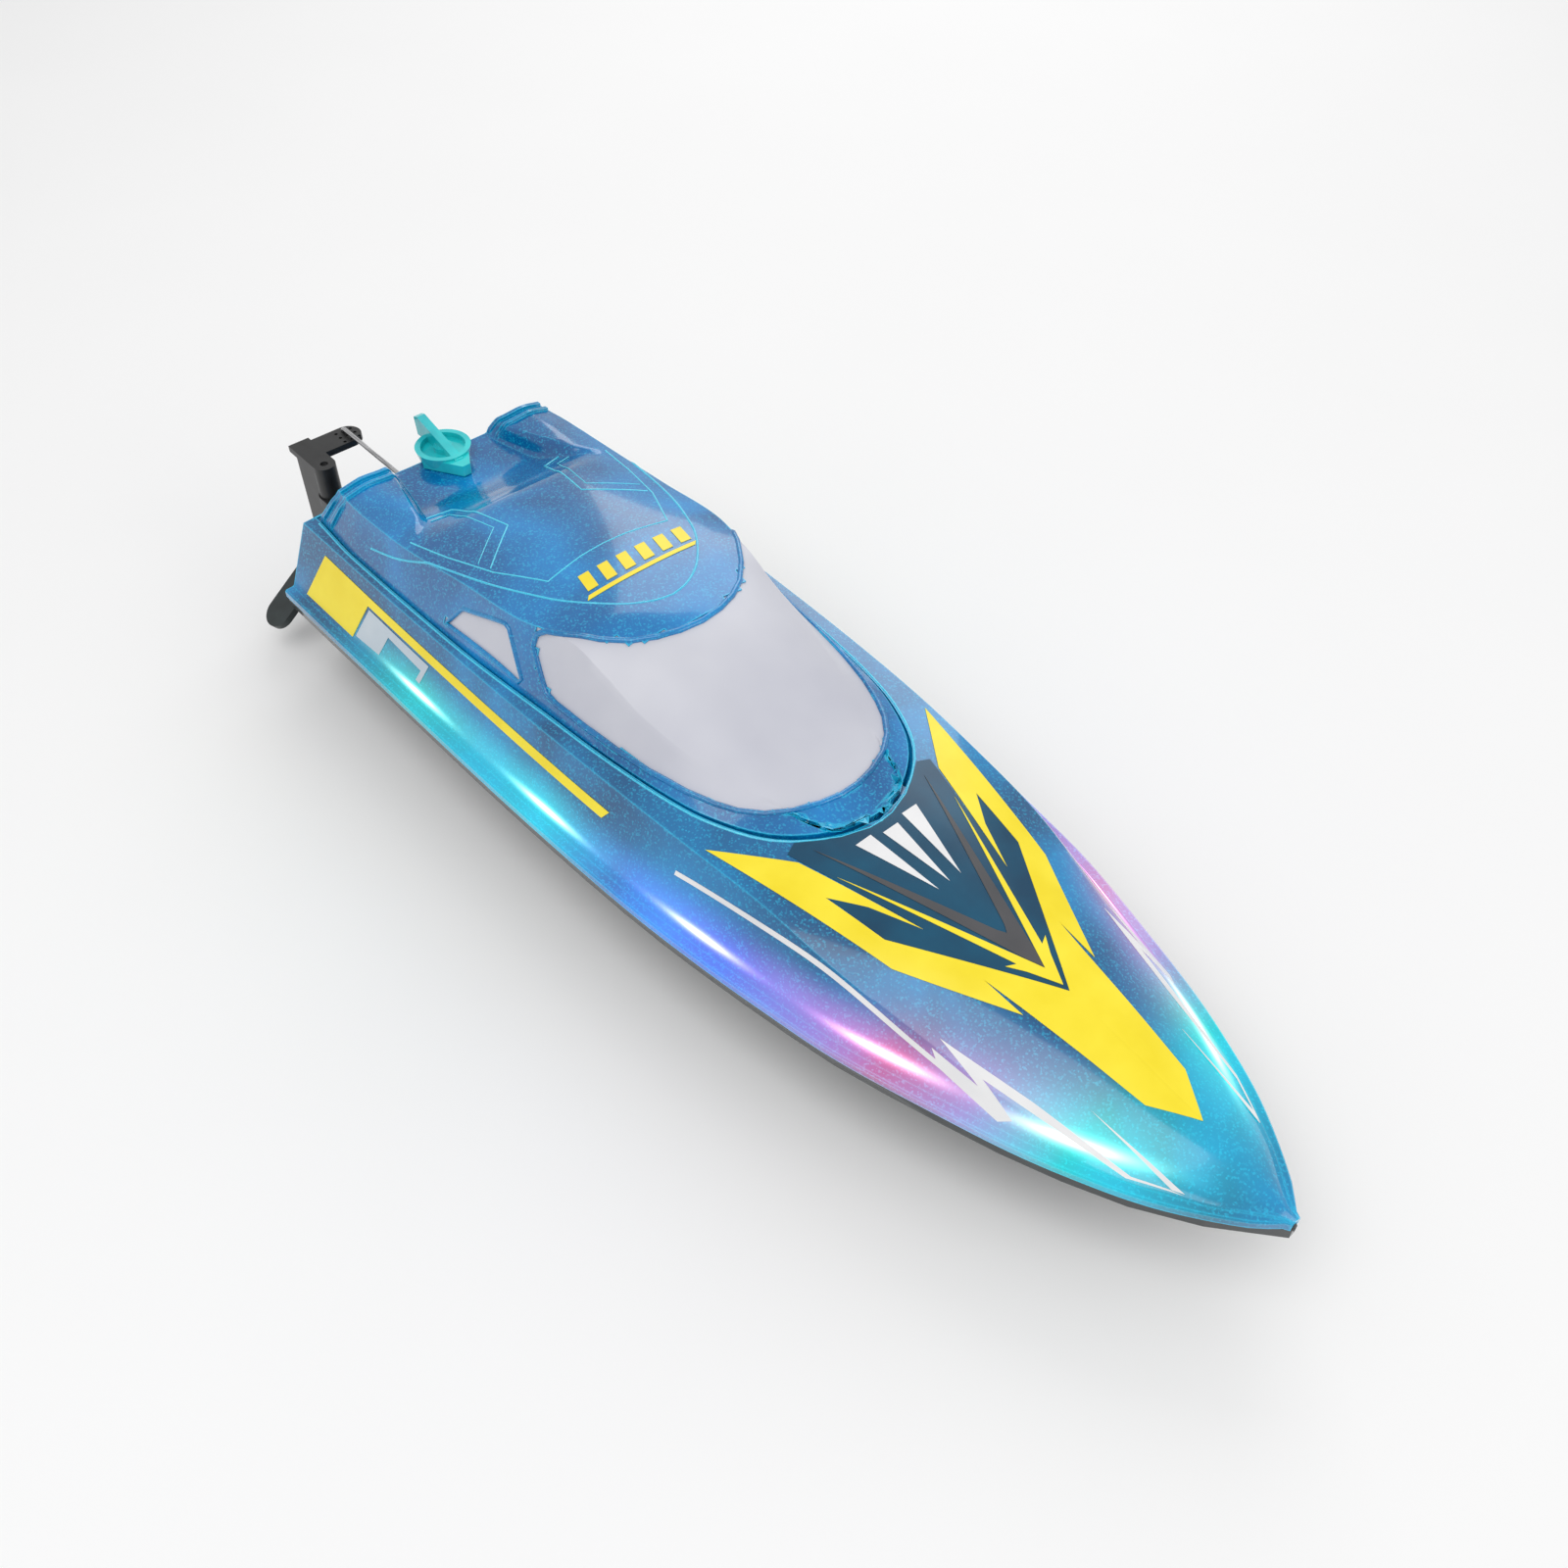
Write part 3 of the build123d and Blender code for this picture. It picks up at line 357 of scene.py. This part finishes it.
def alone(obj):
    if bpy.context.mode != "OBJECT":
        bpy.ops.object.mode_set(mode="OBJECT")
    bpy.ops.object.select_all(action="DESELECT")
    obj.select_set(True)
    bpy.context.view_layer.objects.active = obj


def applyModifier(obj, kind, **settings):
    alone(obj)
    mod = obj.modifiers.new("work", kind)
    for name, value in settings.items():
        setattr(mod, name, value)
    bpy.ops.object.modifier_apply(modifier=mod.name)


def finishPiece(obj, name, body, material, angle=32, replaced=()):
    alone(obj)
    obj.name = name
    bpy.ops.object.transform_apply(location=True, rotation=True, scale=True)
    obj.data.materials.clear()
    obj.data.materials.append(material)
    bpy.ops.object.shade_smooth_by_angle(angle=math.radians(angle))
    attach(obj, body)
    if replaced:
        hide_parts(*replaced)
    return obj


def tidyMesh(obj, closed=True, merge=0.02):
    alone(obj)
    bpy.ops.object.mode_set(mode="EDIT")
    bpy.ops.mesh.select_all(action="SELECT")
    bpy.ops.mesh.remove_doubles(threshold=merge * mm)
    bpy.ops.mesh.dissolve_degenerate(threshold=0.000005)
    if closed:
        bpy.ops.mesh.normals_make_consistent(inside=False)
    bpy.ops.object.mode_set(mode="OBJECT")


def lofted(rows):
    # a grid whose rows of vertices are laid on the sections
    across = len(rows[0])
    bpy.ops.object.select_all(action="DESELECT")
    bpy.ops.mesh.primitive_grid_add(x_subdivisions=len(rows) - 1, y_subdivisions=across - 1, size=2)
    obj = bpy.context.object
    for v in obj.data.vertices:
        row = round((v.co.x + 1) / 2 * (len(rows) - 1))
        column = round((v.co.y + 1) / 2 * (across - 1))
        v.co = rows[row][column]
    obj.data.update()
    if sum(p.normal.z * p.area for p in obj.data.polygons) < 0:
        bpy.ops.object.mode_set(mode="EDIT")
        bpy.ops.mesh.select_all(action="SELECT")
        bpy.ops.mesh.flip_normals()
        bpy.ops.object.mode_set(mode="OBJECT")
    return obj


def mirrored(half):
    return [(-y, z) for y, z in half] + [(y, z) for y, z in half[:-1][::-1]]


def prism(outline, low, high, side=None):
    # upright solid over a plan outline, or one across the boat over a side outline, for cutting
    bpy.ops.object.select_all(action="DESELECT")
    bpy.ops.mesh.primitive_circle_add(vertices=len(outline), fill_type="NGON")
    obj = bpy.context.object
    for v, (a, b) in zip(obj.data.vertices, outline):
        v.co = place(a, b, low) if side is None else place(a, low * side, b)
    bpy.ops.object.mode_set(mode="EDIT")
    bpy.ops.mesh.select_all(action="SELECT")
    reach = (0, 0, (high - low) * mm) if side is None else (0, (high - low) * side * mm, 0)
    bpy.ops.mesh.extrude_region_move(TRANSFORM_OT_translate={"value": reach})
    bpy.ops.mesh.select_all(action="SELECT")
    bpy.ops.mesh.normals_make_consistent(inside=False)
    bpy.ops.object.mode_set(mode="OBJECT")
    return obj


def keepInside(obj, cutter):
    applyModifier(obj, "BOOLEAN", operation="INTERSECT", object=cutter, solver="EXACT")


def insideOutline(outline, a, b):
    inside = False
    for k in range(len(outline)):
        (a0, b0), (a1, b1) = outline[k - 1], outline[k]
        if (b0 > b) != (b1 > b) and a < a0 + (a1 - a0) * (b - b0) / (b1 - b0):
            inside = not inside
    return inside


def scoreSkin(skin, cutter):
    # the cutter's walls are cut into the skin's faces, and then thrown away
    skin.data.materials.clear()
    skin.data.materials.append(cabinBlue)
    cutter.data.materials.clear()
    cutter.data.materials.append(greyVinyl)
    alone(skin)
    cutter.select_set(True)
    bpy.ops.object.join()
    slotOf = {m.name: k for k, m in enumerate(skin.data.materials)}
    wallSlot = slotOf[greyVinyl.name]
    for p in skin.data.polygons:
        p.select = p.material_index == wallSlot
    bpy.ops.object.mode_set(mode="EDIT")
    bpy.ops.mesh.select_mode(type="FACE")
    bpy.ops.mesh.intersect(mode="SELECT_UNSELECT", separate_mode="CUT", threshold=0.0000001, solver="FAST")
    bpy.ops.object.mode_set(mode="OBJECT")
    keepFaces(skin, lambda p: p.material_index != wallSlot)


def keepFaces(obj, wanted):
    alone(obj)
    marks = [not wanted(p) for p in obj.data.polygons]
    bpy.ops.object.mode_set(mode="EDIT")
    bpy.ops.mesh.select_mode(type="FACE")
    bpy.ops.mesh.select_all(action="DESELECT")
    bpy.ops.object.mode_set(mode="OBJECT")
    for p, mark in zip(obj.data.polygons, marks):
        p.select = mark
    bpy.ops.object.mode_set(mode="EDIT")
    bpy.ops.mesh.delete(type="FACE")
    bpy.ops.object.mode_set(mode="OBJECT")


def copied(obj):
    alone(obj)
    bpy.ops.object.duplicate()
    return bpy.context.object


def copyOfNode(name):
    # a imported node's shape as a new piece of its own
    obj = nodes[name].copy()
    obj.data = nodes[name].data.copy()
    for key in list(obj.keys()):
        del obj[key]
    obj.parent = None
    bpy.context.scene.collection.objects.link(obj)
    obj.hide_render = False
    obj.hide_set(False)
    return obj


def dropped(*objs):
    for obj in objs:
        bpy.data.objects.remove(obj, do_unlink=True)


def seamOutline(inset):
    edge = [(s, fair(seamPlan, s)[0] - inset) for s in range(4, 212, 4)]
    edge = [(0.8 + inset, fair(seamPlan, 1)[0] - inset)] + edge
    edge += [(210.5 - inset, 12.2), (212 - inset, 8.0), (213.2 - inset, 3.5)]
    return edge + [(s, -y) for s, y in edge[::-1]]


# deck: two mirrored skins from the rail to the cabin's seam, joined ahead of it, then given their wall
deckShape = {"wall": 1.2, "rowStep": 3.0, "lipHeight": 2.6, "ledge": 3.4}


def deckSection(station, hand):
    rail = fair(railPlan, station)[0]
    sideY, sideZ = fair(deckPlan, station)[:2]
    ledge = min(deckShape["ledge"], (rail - sideY) * 0.7)
    stepZ = railZ + deckShape["lipHeight"]
    foot = rail - ledge
    soft = min(0.5, ledge * 0.25)
    half = [(rail, railZ), (rail, stepZ - soft), (rail - soft, stepZ), (foot + soft, stepZ + 0.1),
            (foot, stepZ + 0.5)]
    half += [(foot + (sideY - foot) * k / 8, 33.1 + (sideZ - 33.1) * k / 8) for k in range(1, 8)]
    inner = fair(seamPlan, station)[0] if 0.8 <= station <= 213.5 else 0.0
    inner = min(inner, sideY - 0.4)
    for k in range(17):
        y = sideY + (inner - sideY) * (k / 16) ** 1.3
        half.append((y, crownHeight(deckPlan, station, y)))
    return [place(station, y * hand, z) for y, z in half]


deckStations = [0, 0.4, 0.79, 0.8] + [k * deckShape["rowStep"] for k in range(1, 69)]
deckStations += [205.5, 207, 208.5, 210, 211, 212, 212.8, 213.5, 213.6]
deckStations += [216 + deckShape["rowStep"] * k for k in range(44)] + [347.2, 348.7]
halves = []
for hand in (1, -1):
    rows = [[Vector((p.x, p.y, railZ * mm)) for p in deckSection(0, hand)]]
    rows += [deckSection(s, hand) for s in deckStations]
    halves.append(lofted(rows))
alone(halves[0])
halves[1].select_set(True)
bpy.ops.object.join()
deck = halves[0]
tidyMesh(deck, closed=False)
applyModifier(deck, "SOLIDIFY", thickness=deckShape["wall"] * mm, offset=-1)

# the cabin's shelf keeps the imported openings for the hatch, servo and latch
shelf = copyOfNode("deck_shell")
tidyMesh(shelf, closed=False)
shelfCutter = prism(seamOutline(-0.6), 48.0, 53.25)
keepInside(shelf, shelfCutter)
finishPiece(shelf, "cabinShelf", "hull", cabinBlue, 30, ())
finishPiece(deck, "deckMoulding", "hull", deckBlue, 30, ("deck_shell",))
dropped(shelfCutter)
print("deck made")

# cabin: pods with a double lip at the stern, trough between them, roof and window openings
cabinShape = {"wall": 1.3, "lipRise": 0.9, "lips": ((0.0, 2.0), (5.6, 7.4)), "rake": 0.58, "paneSink": 0.45}


def cabinPoint(station, y, z):
    # the stern leans forward as it rises, and the lips stand proud there
    lean = max(0.0, 1 - station / 34) * (z - 50) * cabinShape["rake"]
    lip = any(a <= station <= b for a, b in cabinShape["lips"]) and abs(y) > bayBreadth(station) + 1
    if lip and z > 55:
        z += cabinShape["lipRise"]
        y += math.copysign(cabinShape["lipRise"] * 0.7, y) if z < 64 else 0
    return place(0.9 + station * 212.2 / 213.5 + lean, y, z)


def cabinSection(station):
    seam = max(fair(seamPlan, station + 0.9)[0] - 0.35, 0.4)
    sideY = min(fair(cabinPlan, station)[0], seam - 0.2)
    bay = min(bayBreadth(station), sideY * 0.8)
    breadths = [seam - 0.05] + [seam + (sideY - seam) * k / 7 for k in range(1, 8)]
    breadths += [sideY + (bay + 4 - sideY) * k / 7 for k in range(1, 8)]
    breadths += [bay + 4 * (1 - k / 6) for k in range(1, 7)]
    breadths += [bay * (1 - k / 7) for k in range(1, 8)]
    half = [(seam, shelfZ + 0.15)]
    half += [(y, max(cabinHeight(station, y), shelfZ + 0.5)) for y in breadths]
    return mirrored(half)


lipStations = [0, 0.15, 2.0, 2.2, 3.8, 5.4, 5.6, 7.4, 7.6, 9.5]
cabinStations = lipStations + [12 + 2.4 * k for k in range(80)]
cabinStations += [203.5, 205.5, 207.5, 209.3, 210.8, 211.8, 212.4]
cabinRows = [[cabinPoint(0, y, shelfZ + 0.15) for y, z in cabinSection(0)]]
cabinRows += [[cabinPoint(s, y, z) for y, z in cabinSection(s)] for s in cabinStations]
cabin = lofted(cabinRows)
tidyMesh(cabin, closed=False)

screenHalf = [(142.8, 0), (142.0, 7), (139.8, 13.2), (136, 19), (129.7, 25), (121, 31), (113.5, 34.6),
              (113, 36),
              (118.5, 38.0), (121.5, 38.9), (126, 38.9), (138, 38.0), (150, 36.8), (162, 35.0), (174, 32.2),
              (182, 29.4), (188, 26.4), (193.5, 22), (198, 16), (201, 9), (202.3, 3)]
screenOutline = screenHalf + [(s, -y) for s, y in screenHalf[1:][::-1]]
windowOutline = [(75.6, 57.4), (81.2, 64.4), (82.6, 65.2), (101.4, 70.6), (103.2, 70.0), (111.4, 58.6),
                 (110.4, 57.0)]
notchOutline = [(-4, -23), (16, -23), (16, -8), (-4, -8)]
stemOutline = [(11 + 2.1 * math.cos(k * math.pi / 8), 2.1 * math.sin(k * math.pi / 8)) for k in range(16)]
for cutter in (prism(screenOutline, 54.6, 90), prism(windowOutline, 25, 60, 1),
               prism(windowOutline, 25, 60, -1),
               prism(notchOutline, 50, 60.7), prism(stemOutline, 50, 80)):
    scoreSkin(cabin, cutter)


def paneOf(polygon):
    # which opening this face of the skin lies in
    s = polygon.center.x / mm - transomX
    y = polygon.center.y / mm
    z = polygon.center.z / mm
    if insideOutline(screenOutline, s, y) and z > 54.6:
        return "screen"
    if abs(y) > 25 and insideOutline(windowOutline, s, z):
        return "port" if y > 0 else "starboard"
    if (insideOutline(notchOutline, s, y) and z < 60.7) or insideOutline(stemOutline, s, y):
        return "hole"
    return "cover"


for key, name, node in (("screen", "windscreenPane", "windscreen"), ("port", "portPane", "side_window_port"),
                        ("starboard", "starboardPane", "side_window_starboard")):
    part = copied(cabin)
    keepFaces(part, lambda p: paneOf(p) == key)
    tidyMesh(part, closed=False, merge=0.22)
    applyModifier(part, "DISPLACE", strength=-cabinShape["paneSink"] * mm, mid_level=0)
    applyModifier(part, "SOLIDIFY", thickness=0.7 * mm, offset=-1)
    finishPiece(part, name, "cabin", pearlPane, 40, (node,))
keepFaces(cabin, lambda p: paneOf(p) == "cover")
tidyMesh(cabin, closed=False, merge=0.22)
applyModifier(cabin, "SOLIDIFY", thickness=cabinShape["wall"] * mm, offset=-1)
finishPiece(cabin, "cabinMoulding", "cabin", cabinBlue, 30, ("cabin_cover",))
print("cabin made")


def bead(name, points, height, radius, body, material, closed=False, sink=0.42):
    # a rounded raised line that follows a surface
    run = []
    count = len(points) if closed else len(points) - 1
    for k in range(count):
        a, b = points[k], points[(k + 1) % len(points)]
        steps = max(int(math.dist(a, b) / 1.5), 1)
        run += [(a[0] + (b[0] - a[0]) * j / steps, a[1] + (b[1] - a[1]) * j / steps) for j in range(steps)]
    if not closed:
        run.append(points[-1])
    curve = bpy.data.curves.new(name, "CURVE")
    curve.dimensions = "3D"
    curve.bevel_depth = radius * mm
    curve.bevel_resolution = 2
    curve.use_fill_caps = True
    spline = curve.splines.new("POLY")
    spline.points.add(len(run) - 1)
    for p, (s, y) in zip(spline.points, run):
        p.co = (*place(s, y, height(s, y) - radius * sink), 1)
    spline.use_cyclic_u = closed
    obj = bpy.data.objects.new(name, curve)
    bpy.context.scene.collection.objects.link(obj)
    alone(obj)
    bpy.ops.object.convert(target="MESH")
    return finishPiece(bpy.context.object, name, body, material, 60, ())


def curved(points):
    # a smoother run through a few points
    out = []
    for k in range(len(points) - 1):
        p = [points[max(k - 1, 0)], points[k], points[k + 1], points[min(k + 2, len(points) - 1)]]
        for j in range(6):
            t = j / 6
            out.append(tuple(0.5 * (2 * p[1][i] + (p[2][i] - p[0][i]) * t
                                    + (2 * p[0][i] - 5 * p[1][i] + 4 * p[2][i] - p[3][i]) * t * t
                                    + (3 * p[1][i] - p[0][i] - 3 * p[2][i] + p[3][i]) * t ** 3) for i in (0,
                                                                                                          1)))
    return out + [points[-1]]


def bothSides(half):
    return half + [(s, -y) for s, y in half[::-1] if y > 0.01]


hoodLine = curved([(34, 41.6), (48, 40.2), (63, 37.6), (87, 32.4), (104, 26.6), (114, 21.6), (124, 13.5),
                   (129, 6), (130.5, 0)])
panelHalf = [(50, 36.0), (66, 33.2), (84, 28.8), (100.8, 21.3), (98.6, 8), (98.2, 0)]
# these raised lines wear the painted highlight colour
bead("hoodRidge", bothSides(hoodLine), cabinHeight, 0.42, "cabin", highlightCyan)
bead("roofPanelEdge", bothSides(panelHalf), cabinHeight, 0.28, "cabin", highlightCyan)
for hand, label in ((1, "Port"), (-1, "Starboard")):
    outer = [(40, 24.6 * hand), (43, 17.2 * hand), (69, 13.4 * hand), (82, 28.4 * hand)]
    bead("hexLine" + label, outer, cabinHeight, 0.26, "cabin", highlightCyan)
    inner = [(44.5, 25.6 * hand), (46.2, 20 * hand), (66.5, 16.8 * hand), (77, 29.4 * hand)]
    bead("innerHexLine" + label, inner, cabinHeight, 0.16, "cabin", highlightCyan)
bead("screenFrame", screenOutline, cabinHeight, 0.9, "cabin", cabinBlue, closed=True)


def sideLine(points, hand):
    return [(s, hand * cabinSide(s, z)) for s, z in points]


def cabinSide(station, z):
    # breadth of the cabin's side at this height
    sideY, sideZ = fair(cabinPlan, station)[:2]
    foot = max(fair(seamPlan, station)[0] - 0.35, sideY + 3)
    return sideY + (foot - sideY) * (sideZ - z) / (sideZ - skirtHeight(station))


for hand, label in ((1, "Port"), (-1, "Starboard")):
    bead("windowFrame" + label, sideLine(windowOutline, hand), cabinHeight, 0.7, "cabin", cabinBlue,
         closed=True)
# the shoulder crease's line wears the painted highlight colour
bead("shoulderLine", bothSides([(s, fair(seamPlan, s)[0] + 0.7) for s in range(4, 210, 4)]
                               + [(211.5, 11.5), (214.0, 4), (214.3, 0)]), deckHeight, 0.4, "hull", highlightCyan)


def decal(name, outline, surface, body, material, lift=0.06, side=None, step=4.0):
    # a printed sticker cut to an outline and laid on a surface
    bpy.ops.object.select_all(action="DESELECT")
    bpy.ops.mesh.primitive_circle_add(vertices=len(outline), fill_type="NGON")
    obj = bpy.context.object
    for v, (a, b) in zip(obj.data.vertices, outline):
        v.co = (a * mm, b * mm, 0)
    bpy.ops.object.mode_set(mode="EDIT")
    bpy.ops.mesh.select_all(action="SELECT")
    bpy.ops.mesh.quads_convert_to_tris(quad_method="BEAUTY", ngon_method="BEAUTY")
    for axis in (0, 1):
        low = min(p[axis] for p in outline)
        high = max(p[axis] for p in outline)
        normal = (1, 0, 0) if axis == 0 else (0, 1, 0)
        for k in range(1, int((high - low) / step) + 1):
            at = (low + k * step) * mm
            bpy.ops.mesh.select_all(action="SELECT")
            bpy.ops.mesh.bisect(plane_co=(at, 0, 0) if axis == 0 else (0, at, 0), plane_no=normal)
    bpy.ops.object.mode_set(mode="OBJECT")
    for v in obj.data.vertices:
        a, b = v.co.x / mm, v.co.y / mm
        v.co = place(a, b, surface(a, b) + lift) if side is None else place(a, side * (surface(a, b) + lift),
                                                                            b)
    obj.data.update()
    outward = sum(p.normal.z if side is None else p.normal.y * side for p in obj.data.polygons)
    if outward < 0:
        bpy.ops.object.mode_set(mode="EDIT")
        bpy.ops.mesh.select_all(action="SELECT")
        bpy.ops.mesh.flip_normals()
        bpy.ops.object.mode_set(mode="OBJECT")
    applyModifier(obj, "SOLIDIFY", thickness=0.12 * mm, offset=1)
    return finishPiece(obj, name, body, material, 40, ())


def panelBreadth(station, z):
    sideY, sideZ = fair(deckPlan, station)[:2]
    foot = fair(railPlan, station)[0] - deckShape["ledge"]
    return foot + (sideY - foot) * (z - 33.1) / (sideZ - 33.1)


foredeckPrints = {
    "darkField": (darkVinyl, [(214.6, 0), (212.6, 8.5), (209.5, 15.5), (205, 22.0), (206.5, 25.6),
                              (210.4, 24.6), (244.6, 15.0), (231.4, 20.8), (222.6, 26.7), (240.6, 23.8),
                              (279.2, 0)], 0.05),
    "yellowArm": (yellowVinyl, [(190.8, 39.6), (210.2, 25.2), (244.7, 15.1), (231.4, 21.0), (222.4, 27.0),
                                (240.4, 24.0), (279.4, 0), (320.8, 0), (309.7, 7.3), (274.6, 11.9),
                                (263.8, 13.5),
                                (276.3, 12.9), (246.9, 27.6)], 0.08),
    "yellowLine": (yellowVinyl,
                   [(220.1, 21.0), (271.4, 0), (277.3, 0), (269.3, 4.2), (264.9, 7.2), (266.2, 4.6)], 0.20),
    "greyChevron": (greyVinyl, [(210, 19.9), (256.4, 1.4), (258.7, 0), (271.0, 0), (267.2, 1.6)], 0.20),
    "whiteZigzag": (whiteVinyl, [(265.9, 29.9), (291.2, 24.4), (317.3, 19.6), (325.0, 15.6), (328.2, 14.2),
                                 (316.6, 20.6), (279.2, 28.9), (290.1, 29.7), (287.4, 31.8), (270, 33.6),
                                 (186, 46.4), (186, 45.8), (268, 33.1), (265.8, 32.4), (279.4, 30.4)], 0.08),
    "whiteSliver": (whiteVinyl, [(301.7, 16.8), (328.2, 13.9), (325.6, 15.3)], 0.20),
}
for label, (paint, half, lift) in foredeckPrints.items():
    for hand, side in ((1, "Port"), (-1, "Starboard")):
        decal(label + side, [(s, y * hand) for s, y in half], deckHeight, "hull", paint, lift)
for k in (-1, 0, 1):
    slash = [(217.5 - abs(k) * 1.5, 8.2 * k - 2.6), (217.5 - abs(k) * 1.5, 8.2 * k + 2.6), (239.0, 4.0 * k)]
    decal("whiteSlash%d" % (k + 1), slash, deckHeight, "hull", whiteVinyl, 0.24)

sidePrints = {
    "yellowStripe": (yellowVinyl,
                     [(15.0, 49.9), (8.4, 34.2), (36.5, 34.2), (41.6, 46.8), (157.4, 44.6), (159.4, 47.2)]),
    "silverStep": (silverVinyl,
                   [(42.6, 46.0), (38.2, 35.4), (51.4, 36.0), (54.4, 43.2), (72.6, 42.2), (71.2, 38.6),
                                 (73.2, 38.4), (75.8, 45.2)]),
}
for label, (paint, outline) in sidePrints.items():
    for hand, side in ((1, "Port"), (-1, "Starboard")):
        decal(label + side, outline, panelBreadth, "hull", paint, 0.08, hand)

roofBars = {"count": 6, "first": -16.5, "pitch": 6.6, "width": 3.6, "rear": 106.0, "front": 113.4,
            "slant": 1.8}
for k in range(roofBars["count"]):
    y = roofBars["first"] + roofBars["pitch"] * k
    bar = [(roofBars["rear"], y + roofBars["slant"]),
           (roofBars["rear"], y + roofBars["slant"] + roofBars["width"]),
           (roofBars["front"], y + roofBars["width"]), (roofBars["front"], y)]
    decal("roofBar%d" % k, bar, cabinHeight, "cabin", yellowVinyl)
underline = [(115.0, -17.5), (115.0, 20.5), (116.6, 19.0), (116.6, -19.0)]
decal("roofUnderline", underline, cabinHeight, "cabin", yellowVinyl)
print("prints made")

# hull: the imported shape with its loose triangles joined, shaded smooth
hull = copyOfNode("hull_shell")
tidyMesh(hull, closed=False)
finishPiece(hull, "hullMoulding", "hull", hullGrey, 32, ("hull_shell",))

finishes = {
    "rudder_blade": blackNylon, "rudder_bracket": blackNylon, "propeller": blackNylon, "pushrod": steelRod,
    "rudder_pin": steelUpright, "propeller_nut": steelCan, "drive_shaft": steelRod, "motor_shaft": steelRod,
    "motor_can": steelCan, "motor_strap": steelCan, "water_contacts": steelUpright, "latch_knob": turquoise,
    "latch_stem": turquoise, "switch_slider": turquoise, "servo_case": servoBlue, "servo_horn": whiteNylon,
    "motor_end_bell": whiteNylon, "servo_spline": brassTurned, "stern_tube": brassTurned,
    "tube_bush_aft": brassTurned, "tube_bush_forward": brassTurned, "shaft_coupling": brassTurned,
    "rail_gasket": siliconeBlack, "hatch_seal": siliconeBlack, "battery_pack": batteryGreen,
    "battery_strap": tapeBlack, "control_board": boardGreen, "led_board_port": boardGreen,
    "led_board_starboard": boardGreen, "control_pad": foamWhite, "bow_float": foamWhite,
    "led_lamps_port": lampClear, "led_lamps_starboard": lampClear,
}
replacedNodes = ("deck_shell", "hull_shell", "cabin_cover", "windscreen", "side_window_port",
                 "side_window_starboard")
for name, node in nodes.items():
    if name in replacedNodes:
        continue
    finish = finishes.get(name, zincScrew if name.endswith(("screws", "screw")) else darkAbs)
    node.data.materials.clear()
    node.data.materials.append(finish)
print("packed nodes finished")

# floor, light and camera
bpy.ops.object.select_all(action="DESELECT")
bpy.ops.mesh.primitive_plane_add(size=6, location=(0, 0, -0.0005))
ground = bpy.context.object
ground.name = "floorPlane"
groundPaint = mottled("paintedFloor", "#F6F6F6", "#F7F7F7", 8, 0.02, Roughness=0.8)
ground.data.materials.append(groundPaint)

world = bpy.data.worlds.new("studio")
bpy.context.scene.world = world
world.use_nodes = True
world.node_tree.nodes["Background"].inputs["Color"].default_value = (1, 1, 1, 1)
world.node_tree.nodes["Background"].inputs["Strength"].default_value = 0.62
softLights = {"keyOver": ((0.1, -0.5, 1.1), 0.9, 4.5), "rimBehind": ((-0.7, 0.8, 0.8), 0.8, 3.5),
              "bowFill": ((1.0, 0.3, 0.6), 0.6, 2.0)}
for name, (spot, size, power) in softLights.items():
    light = bpy.data.lights.new(name, "AREA")
    light.size = size
    light.energy = power
    lamp = bpy.data.objects.new(name, light)
    bpy.context.scene.collection.objects.link(lamp)
    lamp.location = spot
    lamp.rotation_euler = (Vector((0, 0, 0.03)) - Vector(spot)).to_track_quat("-Z", "Y").to_euler()

cameraView = {"sensor": 36, "focal": 35.01, "spot": (0.22087, -0.1945, 0.34584),
              "towards": (-0.517, 0.458, -0.723)}
lens = bpy.data.cameras.new("viewer")
lens.sensor_width = cameraView["sensor"]
lens.lens = cameraView["focal"]
lens.clip_start = 0.01
camera = bpy.data.objects.new("viewer", lens)
bpy.context.scene.collection.objects.link(camera)
camera.location = cameraView["spot"]
camera.rotation_euler = Vector(cameraView["towards"]).to_track_quat("-Z", "Y").to_euler()
bpy.context.scene.camera = camera
bpy.context.scene.view_settings.view_transform = "Standard"
print("stage set")
